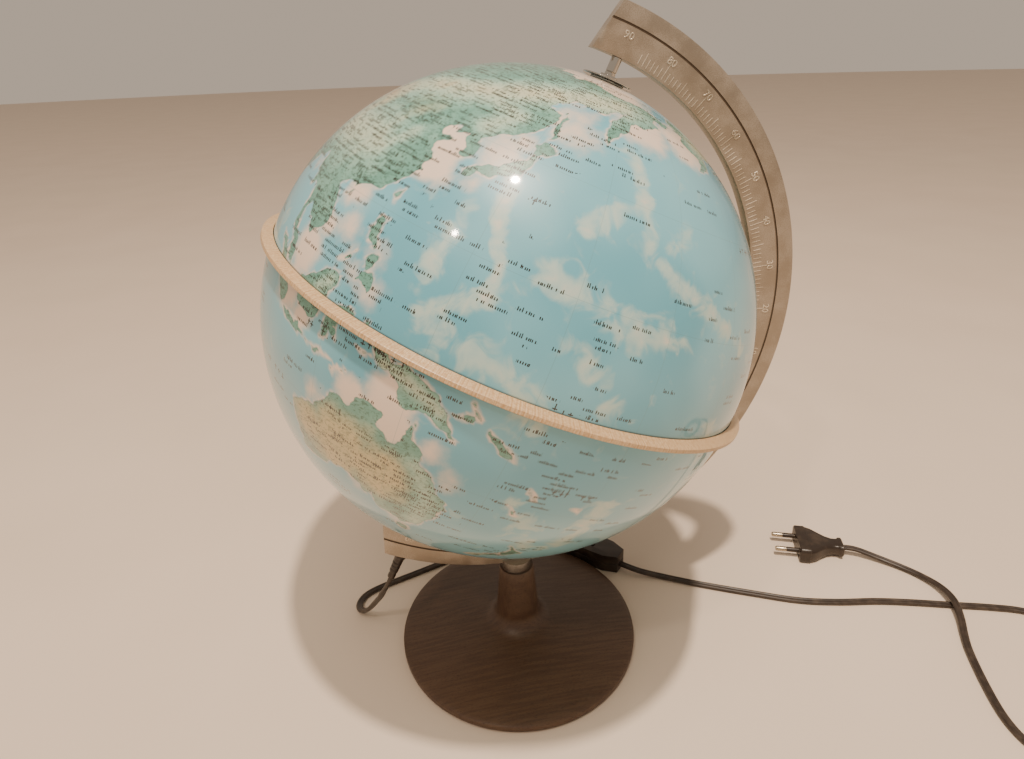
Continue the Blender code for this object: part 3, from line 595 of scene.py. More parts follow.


# Each coast is a closed line of drawn places: a longitude and a latitude in whole or tenth degrees.
COASTS: dict[str, str] = {
    "eurasia": """-9 43, -8.8 41, -9.4 38.7, -8.8 37, -6.3 36.6, -5.4 36.1, -2 36.8, 0 38.7, -0.2 39.8,
    3.2 42, 4 43.5, 7.5 43.7, 9 44.4, 10.5 43, 12.3 41.7, 15.6 40, 16 38, 17 39, 16.8 40.5, 18.5 40.2,
    16 41.8, 14 42.6, 12.4 44.2, 12.5 45.5, 13.8 45, 15.2 44.2, 17.5 43, 19.4 41.8, 19.4 40.2, 21 38.3,
    21.7 36.8, 23 36.5, 24 37.7, 22.8 39.3, 24 40, 26 40.8, 29 41, 28 42, 28.6 43.8, 30.5 46, 33 46.1,
    33.6 44.5, 35.5 45.1, 35 46.3, 38.2 47, 37.5 45.5, 41.5 42, 41.3 41.4, 36 41.5, 31.5 41.3, 29 41,
    27 40.3, 26.3 39.2, 27.3 37, 30.5 36.5, 32.5 36.1, 36 36.7, 35.8 35, 34.5 31.5, 32.5 31.2, 32.6 29.9,
    33.2 28.5, 34.3 27.8, 34.9 29.5, 36.5 26, 38.8 23, 39.2 21, 41 18, 42.7 16, 43.4 12.7, 45 12.8, 48.5 14,
    52 15.6, 55 17.5, 57.8 19, 59.8 22.5, 58.5 23.7, 56.4 25, 56.3 26.2, 54 24.2, 51.6 24.3, 51.3 26,
    50.2 26.5, 48.2 29.5, 50.2 30, 51.3 27.9, 54.5 26.6, 57 27, 58 25.6, 61.5 25.1, 66.6 25, 67.5 23.9,
    70 22.5, 69 22.2, 70.5 20.8, 72.6 21.5, 72.9 19, 74.2 15, 75.8 11.5, 77.5 8.1, 79 9.3, 79.9 10.3,
    80.3 13.3, 80.1 15.5, 82.3 16.6, 85 19.5, 87 21.3, 88.8 21.7, 90.5 22.5, 91.8 22.5, 92.4 20.7,
    94.2 18.5, 94.4 16, 96.5 16.8, 97.6 16.5, 98.6 13, 98.5 10, 98.3 8, 100.3 6, 101.3 2.9, 103.5 1.3,
    104.2 1.4, 103.4 4, 102.3 6.2, 100.4 7.8, 99.3 10, 100 13.3, 101 13.3, 102.9 11.3, 104.5 10.4, 105 8.7,
    106.7 9.8, 107.5 10.5, 109.2 11.8, 109.2 13.8, 108 16.2, 106.3 18.2, 105.8 19.5, 106.8 20.8, 108.2 21.6,
    109.8 21.5, 110.2 20.4, 111 21.5, 113.6 22.2, 116.6 23.2, 119 25.4, 120.7 27.8, 121.9 29.3, 121 30.5,
    121.9 31.5, 120.5 33.6, 119.3 35.1, 122.4 36.9, 121.5 37.5, 119 37.3, 117.8 38.9, 119.5 39.8,
    121.8 40.8, 121.4 39, 123.5 39.8, 124.8 39.8, 125 38, 126.7 37.2, 126.4 34.6, 129.2 35.2, 129.4 37,
    127.5 39.5, 129.7 41, 130.7 42.3, 133 42.8, 135.5 44, 138.5 47, 140.4 50, 140.9 53, 137.5 54.2,
    135.5 54.8, 138.5 57, 142.5 59.3, 148.5 59.4, 154 59.3, 156.7 61.6, 160 61.9, 163.8 62.5, 160.5 60.5,
    156.5 57.5, 155.7 55, 156.7 51, 158.5 53, 160 54.8, 162.2 56.2, 163.3 58.3, 166 60, 170.4 60.1,
    174 61.8, 179.4 62.6, 177.5 64.7, 180.5 65.5, 187 64.4, 190.2 66.1, 185 67, 180 68.9, 176 69.8,
    170.5 70, 161 69.5, 152 70.9, 140 72.5, 130 71, 126.5 73.5, 120 73, 113.5 73.8, 105 77.6, 100 76.3,
    87 75, 80.7 73.6, 80.5 72, 75 72.7, 72.7 72.9, 69 72.8, 66.8 71, 68.5 68.2, 64 69.2, 60.5 69.8, 54 68.3,
    46 68, 43.5 66.2, 40 64.6, 34.8 64.4, 33 66.7, 41 66.5, 41 67.7, 36 69, 31 70.3, 25.7 71, 19 69.8,
    14.5 67.8, 10.5 64.2, 5.3 62, 5 59.3, 7 58, 10.5 59.3, 11.3 58, 12.8 55.5, 14.3 55.5, 16.5 57, 18.8 60,
    17.2 61.5, 21.5 64.3, 24.5 65.8, 25.3 64.9, 21.4 62.5, 21.5 60.8, 25 60.1, 30 59.9, 24 59.3, 23.5 58.7,
    24.3 57.3, 21.8 57.6, 21 55.3, 18.6 54.6, 14.2 54, 10.9 54, 10.6 57.7, 8.2 57, 8.6 55.3, 8.8 53.9,
    7 53.5, 4.6 52.5, 3.5 51.4, 1.6 50.8, 0.1 49.5, -1.6 49.7, -1.4 48.6, -4.7 48.4, -2.2 47.1, -1.2 45.5,
    -1.5 43.5, -4 43.5, -8 43.8""",
    "caspian": "47 44.5, 51 46.8, 53 45, 51 44, 54 41, 53.8 37, 50 37.4, 49.5 40.2, 47.5 43",
    "africa": """-5.9 35.8, -2 35.1, 3 36.9, 10 37.3, 11 35, 10.2 34, 15 32.4, 19.8 30.4, 20 32.5, 23 32.6,
    29 30.9, 32.3 31.3, 32.5 30, 34 26.5, 35.6 23.8, 37.2 21, 37.4 18.8, 39.5 15.5, 43 11.7, 44.5 10.4,
    51.2 11.9, 50.8 9.5, 48 4.6, 44 1, 41.5 -1.8, 39.3 -4.7, 39.4 -8, 40.6 -11, 40.7 -15, 37 -17.6,
    35 -19.8, 35.5 -23.8, 32.8 -26, 32.4 -28.6, 30 -31.3, 26 -33.8, 20 -34.8, 18.3 -33.8, 17 -29.5,
    15 -26.5, 14.4 -22.5, 11.8 -18, 13.5 -12.5, 12.3 -6, 9.5 -2.3, 9.5 1, 9.7 3.9, 8.5 4.6, 5.5 4.5,
    4.2 6.3, 1 5.9, -2 4.8, -7.6 4.4, -11.4 6.8, -13.3 9, -15 11, -17.2 14.7, -16.4 19.5, -17 21.4,
    -14.9 25.5, -13 27.8, -9.8 29.8, -9.7 31.5, -6.8 34""",
    "madagascar": "49.3 -12.1, 50.4 -15.8, 47.2 -24.9, 45 -25.5, 43.4 -22, 44.4 -19.5, 44.5 -16.2, 47 -15.3",
    "north_america": """-168 65.6, -161 64.5, -164.8 63, -166 61.6, -162 59.5, -157.5 58.7, -164.8 54.6,
    -158 56, -154 58.3, -151.5 61, -149 60, -144 60.1, -138.5 59.3, -134 57, -130.5 54.5, -127.5 51.5,
    -123.5 49, -124.7 48, -124 44, -124.4 40.4, -122.3 37.3, -120.6 34.6, -117.3 33, -115 29.5, -112.2 26,
    -110 23, -111 25.5, -113 29, -114.8 31.7, -112 28.7, -109.3 26, -105.5 22, -105.4 20.3, -101.5 17.6,
    -96 15.7, -93.5 16, -90 13.7, -87.5 12.8, -85.7 10.5, -83 8.3, -80 7.4, -77.8 7.2, -77.4 8.5, -79.5 9.5,
    -82.5 9.2, -83.6 11, -83.2 15, -88.4 15.8, -87.5 18.5, -87 21.4, -90.4 21.1, -91.5 18.5, -94.6 18.2,
    -97.3 20.6, -97.6 24.5, -97 28, -94 29.6, -89.5 29.2, -88 30.4, -84.3 30, -82.8 28.4, -81.3 25.2,
    -80.2 26, -81.3 30.5, -79 33.3, -75.6 35.3, -74 40.6, -70 41.8, -70.7 43.2, -67 44.8, -64.5 45.5,
    -66 43.5, -61 45.5, -65 47.5, -65 49.2, -60 50.3, -55.8 52.5, -57.5 54.8, -61.8 57.5, -64.6 60.3,
    -69.5 58.9, -72.5 61.8, -78 62.4, -77 58, -79 54.8, -79.5 51.3, -82.3 53, -82.3 55.2, -88 56.6,
    -92.5 57, -94.7 60, -91 63.5, -87 65.5, -86 67.5, -82 69, -86 70, -92 71.5, -96 69, -105 68.3,
    -114 68.2, -121 69.8, -128 70.3, -136 69, -141 69.7, -152 70.8, -157 71.3, -163 69.5, -166 68.3,
    -162 66.5""",
    "greenland": """-73 78.2, -60 82, -35 83.6, -18 81.5, -20 76, -22 72, -25 69.5, -33 67.8, -40 65,
    -43 60, -48 61, -52.5 65.5, -54 69.5, -57 74.5, -66 76""",
    "baffin": "-80.5 73.7, -72 71, -62 66.5, -65 63, -72 64.5, -73 68, -85 70, -88 73",
    "victoria": "-105 69, -105 73, -117 73, -117 69.8",
    "ellesmere": "-90 77, -77 77.5, -64 82.5, -75 83, -92 81",
    "cuba": "-84.8 22, -80 23.2, -74.3 20.3, -78 20, -82 22.2",
    "hispaniola": "-74.3 18.4, -73 19.9, -68.5 18.6, -71.5 17.8",
    "south_america": """-77.4 8.5, -75.5 10.7, -72 12, -71.5 11, -67 10.6, -62 10.6, -60 8.5, -57 6,
    -52 4.8, -50 0.5, -48.5 -1, -44 -2.7, -39.5 -3, -35.3 -5.3, -35 -8.5, -38.5 -13, -39.2 -17.5, -41 -22,
    -45 -23.5, -48.5 -26.5, -51.5 -31.5, -53.8 -34, -58.4 -34, -56.8 -36.5, -62 -39, -65 -41, -63.8 -42.5,
    -67.5 -46, -65.8 -47.8, -69 -51, -68.5 -53, -65.5 -54.8, -70 -55.2, -74.5 -51.5, -75.5 -47, -73.2 -42,
    -73.6 -37.2, -71.6 -31, -70.4 -25, -70.2 -18.5, -76.2 -13.8, -79.5 -7.5, -81.3 -4.8, -80 -2.5,
    -80.3 0.3, -78.8 1.5, -77.3 4, -77.8 7""",
    "australia": """142.5 -10.7, 143.6 -14.2, 145.4 -15.2, 146.3 -18.9, 149 -20.5, 150.8 -23.3, 153.1 -25.8,
    153.6 -28.6, 152.5 -32.2, 150 -37.2, 146.4 -39, 144 -38.2, 140.7 -38, 138.3 -35.5, 137.8 -33, 136 -34.8,
    134 -32.8, 131 -31.5, 126 -32.3, 123.6 -33.9, 118 -35, 115.1 -34.3, 115.8 -32, 114 -27, 113.5 -24,
    114.2 -22, 117 -20.7, 121 -19.5, 122.3 -17.5, 125 -15, 127 -14, 129.5 -14.9, 130.8 -12.4, 132.6 -11.5,
    136.8 -12.2, 135.6 -15, 139.2 -17.4, 140.8 -17.5, 141.6 -14, 141.8 -12""",
    "tasmania": "144.8 -40.8, 148.3 -40.9, 147.9 -43, 146.3 -43.6, 145.3 -42.3",
    "new_guinea": """131 -0.8, 134.1 -0.8, 135 -3.3, 138 -1.7, 141 -2.6, 144.5 -3.9, 147.5 -6, 147.8 -7.9,
    150.7 -10.4, 147 -9.5, 144 -7.7, 141 -9.1, 138 -8.3, 138 -5.5, 133.5 -4, 132 -2.8""",
    "new_britain": "148.4 -5.7, 152.2 -4.2, 151.5 -5.8, 149.5 -6.3",
    "new_ireland": "150.8 -2.6, 153 -4.5, 152.7 -4.8, 150.8 -2.9",
    "solomons": "155 -6, 160.5 -9, 161.5 -10.5, 159.5 -9.8, 156 -7.5",
    "new_caledonia": "164 -20.2, 167 -22.3, 166.3 -22.3",
    "fiji": "177.3 -18, 179.3 -16.8, 178.5 -18.2",
    "vanuatu": "166.6 -15, 168.4 -17, 167.3 -16.2",
    "new_zealand_north": """172.7 -34.4, 175.5 -37, 178.4 -37.7, 176.8 -40, 175.2 -41.5, 173.8 -39.3,
    174.7 -38""",
    "new_zealand_south": """172.8 -40.6, 174.3 -41.7, 171.3 -44.2, 170.5 -46, 168.5 -46.6, 166.6 -45.9,
    170.5 -43""",
    "honshu": """130 31.3, 131.3 31.4, 132 33.3, 135.6 33.5, 139 34.7, 140.8 35.6, 141 38, 142 39.6,
    141.4 41.4, 140 40.8, 139.8 38.8, 137 37.2, 136 35.8, 132.5 35.2, 130.9 34, 129.6 33""",
    "hokkaido": "140 41.6, 143.2 42, 145.4 43.3, 144.2 44, 141.8 45.4, 141.3 43.3",
    "sakhalin": "142 46, 143.5 49, 143 52, 142.5 54.3, 142 52, 141.8 49",
    "taiwan": "120.2 23, 121.9 25.1, 120.9 22",
    "hainan": "108.7 19, 110.9 20, 110 18.4",
    "luzon": "120.3 16, 120.8 18.5, 122.2 18.4, 121.6 15.8, 124 12.7, 121.8 13.8, 120.6 14.2",
    "mindanao": "122 7, 123.5 8.6, 125.5 9.8, 126.5 7.5, 125.5 5.8, 124 7",
    "visayas": "122 11.8, 125.3 12.3, 125 10.2, 123 9.3",
    "palawan": "117.3 8.4, 119.5 11.3, 119.2 10.2",
    "borneo": "109 1.5, 111.3 2.5, 113.8 4.5, 116.8 6.9, 119 5.2, 117.8 1, 116.5 -3.8, 114.5 -4, 110.2 -2.8",
    "sulawesi": """119 -5.5, 119 -3.4, 119.8 0.8, 121 1.2, 124.9 1.5, 123 0.4, 120.5 0.4, 121.5 -0.9,
    123.3 -0.8, 121.8 -2, 122.8 -4.5, 121.4 -4.4, 120.4 -3, 120.4 -5.5""",
    "halmahera": "127.6 0.8, 128 2, 128.6 1, 128.2 -0.6",
    "seram": "128 -3.2, 130.8 -3.2, 129 -3.6",
    "timor": "123.6 -10.3, 127 -8.5, 125 -9.5",
    "java": "105.3 -6.7, 108.5 -6.6, 112.6 -6.9, 114.4 -8.5, 110 -8.1, 106.5 -7.4",
    "sunda": "115.2 -8.3, 119 -8.4, 123 -8.4, 119 -8.9",
    "sumatra": "95.3 5.5, 98 4.4, 101 2, 104 -1.2, 106 -3.3, 105.8 -5.8, 104 -5.6, 101 -2.5, 98.5 1.7",
    "ceylon": "79.9 9.6, 81.7 7.5, 80.5 6, 79.8 7.6",
    "britain": """-5.3 50.1, 1.3 51.2, 1.6 52.8, -0.1 54, -2 57.3, -3.1 58.6, -5.5 58, -5 55, -3 53.8,
    -4.6 52.8, -5 51.8, -3 51.4""",
    "ireland": "-10 52, -6.3 52.3, -5.6 54.6, -8.3 55.2, -9.8 53.8",
    "iceland": "-24 65.5, -22 64, -18.5 63.4, -13.6 65, -16 66.5, -22 66.3",
    "svalbard": "11 79.5, 17 76.7, 22 78.5, 20 80.2",
    "novaya_zemlya": "52 71, 57 70.8, 60 74, 68 76.8, 60 76, 54 73",
    "antarctica": """-180 -78, -160 -78.5, -150 -77, -125 -74, -100 -73, -75 -73.5, -68 -67, -57 -63.3,
    -62 -70, -60 -75, -35 -78, -15 -72.5, 10 -70, 35 -69, 55 -66.5, 70 -69, 90 -66.5, 110 -66, 130 -66,
    145 -67, 165 -71, 165 -78, 180 -78, 180 -90, -180 -90""",
}
LAKES = ("caspian",)


class Workshop:
    """Turns bmeshes into finished pieces of the globe and keeps a count of them."""

    def __init__(self) -> None:
        """Start with no pieces."""
        self.made: list[bpy.types.Object] = []

    def piece(
        self,
        name: str,
        shape: bmesh.types.BMesh,
        body: Body,
        materials: Sequence[bpy.types.Material],
        place: Matrix = UPRIGHT,
        stands_for: Sequence[str] = (),
        slot: str = "",
    ) -> bpy.types.Object:
        """Finish a bmesh as a piece whose object sits at the origin.

        Args:
            name: the piece's name.
            shape: its bmesh in metres, freed here.
            body: the body that it rides on.
            materials: its materials, in slot order.
            place: its place in the model's frame.
            stands_for: the CAD nodes that it replaces.
            slot: not used.

        Returns:
            The piece.
        """
        shape.transform(place)
        bmesh.ops.remove_doubles(shape, verts=shape.verts, dist=WELD)
        bmesh.ops.recalc_face_normals(shape, faces=shape.faces)
        mesh = bpy.data.meshes.new(name)
        shape.to_mesh(mesh)
        shape.free()
        for material in materials:
            mesh.materials.append(material)
        mesh.shade_smooth()
        mesh.set_sharp_from_angle(angle=SHARP)
        piece = bpy.data.objects.new(name, mesh)
        bpy.context.scene.collection.objects.link(piece)
        return self.enrol(piece, body, stands_for)

    def enrol(
        self, piece: bpy.types.Object, body: Body, stands_for: Sequence[str] = ()
    ) -> bpy.types.Object:
        """Let a piece ride on its body, and hide the CAD nodes that it stands for.

        Args:
            piece: the piece, in place.
            body: the body that it rides on.
            stands_for: the CAD nodes that it replaces.

        Returns:
            The piece.
        """
        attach(piece, body.value)
        if stands_for:
            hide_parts(*stands_for)
        self.made.append(piece)
        LOG.info("%s: %d faces on %s", piece.name, len(piece.data.polygons), body.value)
        return piece

    def dress(self, material: bpy.types.Material, *nodes: str) -> None:
        """Give CAD nodes that stay in view a material.

        Args:
            material: the material.
            nodes: the nodes' names.
        """
        for name in nodes:
            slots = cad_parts[name].data.materials
            slots.clear()
            slots.append(material)
            LOG.info("%s: CAD shape kept, dressed in %s", name, material.name)


def turned(profile: Iterable[Point], steps: int, soften: float = 0.0, segments: int = 2) -> bmesh.types.BMesh:
    """Turn a closed outline about Z.

    Args:
        profile: radius and height of each corner in millimetres.
        steps: the number of steps round.
        soften: the width of the bevel on its crisp edges, in millimetres.
        segments: the bevel's segments.

    Returns:
        The turned shape.
    """
    shape = bmesh.new()
    ring = [shape.verts.new((radius * MM, 0.0, height * MM)) for radius, height in profile]
    for first, second in zip(ring, ring[1:] + ring[:1]):
        if max(first.co.x, second.co.x) > 0.0:  # no edge runs along the axis itself
            shape.edges.new((first, second))
    bmesh.ops.spin(
        shape,
        geom=shape.verts[:] + shape.edges[:],
        cent=(0.0, 0.0, 0.0),
        axis=(0.0, 0.0, 1.0),
        angle=math.tau,
        steps=steps,
        use_merge=True,
        use_duplicate=False,
    )
    bmesh.ops.remove_doubles(shape, verts=shape.verts, dist=1e-6)
    bmesh.ops.recalc_face_normals(shape, faces=shape.faces)
    if soften:
        round_edges(shape, soften, segments)
    return shape


def crisp_edges(shape: bmesh.types.BMesh) -> list[bmesh.types.BMEdge]:
    """The edges between two faces that meet more sharply than SHARP."""
    return [edge for edge in shape.edges if len(edge.link_faces) == 2 and edge.calc_face_angle(0.0) > SHARP]


def round_edges(
    shape: bmesh.types.BMesh, width: float, segments: int, edges: Sequence[bmesh.types.BMEdge] | None = None
) -> None:
    """Bevel some edges.

    Args:
        shape: the bmesh.
        width: the bevel's width in millimetres.
        segments: its segments.
        edges: the edges, or None for every crisp one.
    """
    bmesh.ops.bevel(
        shape,
        geom=crisp_edges(shape) if edges is None else edges,
        offset=width * MM,
        offset_type="OFFSET",
        affect="EDGES",
        segments=segments,
        profile=0.5,
        material=-1,
        clamp_overlap=True,
    )


def cut(shape: bmesh.types.BMesh, spot: Point, facing: Point, trim: bool = False) -> None:
    """Cut a bmesh along a plane.

    Args:
        shape: the bmesh.
        spot: a point of the plane in millimetres.
        facing: the plane's normal.
        trim: whether what lies beyond the plane goes.
    """
    bmesh.ops.bisect_plane(
        shape,
        geom=shape.verts[:] + shape.edges[:] + shape.faces[:],
        plane_co=Vector(spot) * MM,
        plane_no=facing,
        clear_outer=trim,
    )


def close_holes(shape: bmesh.types.BMesh) -> None:
    """Fill every hole of a bmesh."""
    bmesh.ops.holes_fill(shape, edges=[edge for edge in shape.edges if edge.is_boundary], sides=0)


def copied(node: str, soften: float) -> bmesh.types.BMesh:
    """Copy a CAD node, merge its loose triangles into whole faces and round its edges.

    Args:
        node: the CAD node's name.
        soften: the width of the rounding in millimetres.

    Returns:
        The copy.
    """
    shape = bmesh.new()
    shape.from_mesh(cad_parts[node].data)
    bmesh.ops.remove_doubles(shape, verts=shape.verts, dist=WELD)
    bmesh.ops.dissolve_limit(shape, angle_limit=math.radians(1.0), verts=shape.verts, edges=shape.edges)
    round_edges(shape, soften, segments=3)
    return shape


def lofted(sections: Sequence[Sequence[Point]]) -> bmesh.types.BMesh:
    """Bridge closed sections with equal numbers of points, and close both ends.

    Args:
        sections: each section's points in millimetres.

    Returns:
        The lofted shape.
    """
    shape = bmesh.new()
    before = None
    for section in sections:
        ring = [shape.verts.new(Vector(point) * MM) for point in section]
        edges = [shape.edges.new(pair) for pair in zip(ring, ring[1:] + ring[:1])]
        if before:
            bmesh.ops.bridge_loops(shape, edges=before + edges)
        else:
            shape.faces.new(ring)
        before = edges
    shape.faces.new(ring)
    bmesh.ops.recalc_face_normals(shape, faces=shape.faces)
    return shape


def rounded_rectangle(half_width: float, half_height: float, corner: float, steps: int = 5) -> list[Point]:
    """The points of a rectangle with round corners, in its own plane.

    Args:
        half_width: half its width.
        half_height: half its height.
        corner: the radius of its corners.
        steps: the steps in each corner.

    Returns:
        The points, in order.
    """
    corner = min(corner, half_width - 0.01, half_height - 0.01)
    points = []
    for index, (side, level) in enumerate(((1, 1), (-1, 1), (-1, -1), (1, -1))):
        for step in range(steps + 1):
            angle = (index + step / steps) * math.pi / 2
            points.append(
                (
                    side * (half_width - corner) + corner * math.cos(angle),
                    level * (half_height - corner) + corner * math.sin(angle),
                )
            )
    return points


def smooth_route(points: Sequence[Point], spacing: float) -> list[Vector]:
    """Points at even distances on one smooth curve through the given ones.

    Args:
        points: the points that the curve passes through.
        spacing: about how far apart the new points are, in the same unit.

    Returns:
        The new points.
    """
    knots = [Vector(point) for point in points]
    knots = [2 * knots[0] - knots[1], *knots, 2 * knots[-1] - knots[-2]]
    steps = 16  # between neighbouring knots
    fine = []
    for before, start, end, after in zip(knots, knots[1:], knots[2:], knots[3:]):
        for step in range(steps):
            t = step / steps
            bend = 2 * before - 5 * start + 4 * end - after
            twist = 3 * start - before - 3 * end + after
            fine.append(0.5 * (2 * start + (end - before) * t + bend * t**2 + twist * t**3))
    fine.append(knots[-2])
    line = np.array(fine)
    along = np.concatenate([[0.0], np.cumsum(np.linalg.norm(np.diff(line, axis=0), axis=1))])
    at = np.linspace(0.0, along[-1], max(2, round(along[-1] / spacing)) + 1)
    return [Vector(point) for point in np.stack([np.interp(at, along, line[:, axis]) for axis in range(3)], 1)]


@dataclass
class Studio:
    """The camera at the viewing angle, the pale floor and soft lights."""

    eye: Point = (-0.06973, -0.40258, 0.41284)
    heading: float = math.radians(9.408)
    pitch: float = math.radians(19.09)
    roll: float = math.radians(-2.04)
    lens: float = 23.82
    shift: Point = (0.0091, -0.0826)
    floor_colour: str = "D8C7B5"
    floor_cloud: str = "DCCBB9"
    floor_radius: float = 14.0
    light_colour: str = "FFEBD6"
    sky_colour: str = "E2CEBA"
    sky_strength: float = 0.66

    def camera(self) -> None:
        """Make the camera."""
        ahead = Vector(
            (
                math.sin(self.heading) * math.cos(self.pitch),
                math.cos(self.heading) * math.cos(self.pitch),
                -math.sin(self.pitch),
            )
        )
        level = ahead.cross(Vector((0.0, 0.0, 1.0))).normalized()
        above = level.cross(ahead)
        right = level * math.cos(self.roll) + above * math.sin(self.roll)
        above = above * math.cos(self.roll) - level * math.sin(self.roll)
        turn = Matrix((right, above, -ahead)).transposed().to_4x4()
        data = bpy.data.cameras.new("camera")
        data.sensor_width = 36.0
        data.lens = self.lens
        data.shift_x, data.shift_y = self.shift
        data.clip_start, data.clip_end = 0.01, 50.0
        camera = bpy.data.objects.new("camera", data)
        camera.matrix_world = Matrix.Translation(Vector(self.eye)) @ turn
        bpy.context.scene.collection.objects.link(camera)
        bpy.context.scene.camera = camera

    def floor(self) -> None:
        """Make the plain floor, which isn't part of the globe."""
        sheet = NodeSheet("matt_floor")
        clouds = sheet.add("TexNoise", Vector=sheet.place, Scale=per_mm(180.0), Detail=2.0)
        colour = sheet.add("ValToRGB", clouds, stops=[(0.3, self.floor_colour), (0.7, self.floor_cloud)])
        material = sheet.finish(Base_Color=colour, Roughness=0.7)
        shape = bmesh.new()
        bmesh.ops.create_circle(shape, cap_ends=True, segments=96, radius=self.floor_radius)
        mesh = bpy.data.meshes.new("floor")
        shape.to_mesh(mesh)
        shape.free()
        mesh.materials.append(material)
        floor = bpy.data.objects.new("floor", mesh)
        bpy.context.scene.collection.objects.link(floor)

    def light(self, name: str, spot: Point, size: float, power: float, glossy: bool) -> None:
        """Make one soft light that points at the ball.

        Args:
            name: its name.
            spot: where it hangs, in metres.
            size: its diameter in metres.
            power: its power in watts.
            glossy: whether gloss mirrors it.
        """
        data = bpy.data.lights.new(name, "AREA")
        data.shape = "DISK"
        data.size = size
        data.energy = power
        data.color = linear(self.light_colour)[:3]
        lamp = bpy.data.objects.new(name, data)
        lamp.location = spot
        lamp.rotation_euler = (Vector(spot) - BALL_MIDDLE * MM).to_track_quat("Z", "Y").to_euler()
        lamp.visible_glossy = glossy
        bpy.context.scene.collection.objects.link(lamp)

    def lights(self) -> None:
        """Make the lights and the pale surroundings."""
        self.light("overhead", (0.04, -0.55, 2.0), size=0.08, power=43.0, glossy=True)
        self.light("left", (-0.95, -1.15, 1.95), size=0.09, power=7.0, glossy=True)
        self.light("wide", (-1.5, -4.0, 9.0), size=5.0, power=330.0, glossy=False)
        world = bpy.data.worlds.new("pale_room")
        world.use_nodes = True
        back = world.node_tree.nodes["Background"]
        back.inputs["Color"].default_value = linear(self.sky_colour)
        back.inputs["Strength"].default_value = self.sky_strength
        bpy.context.scene.world = world


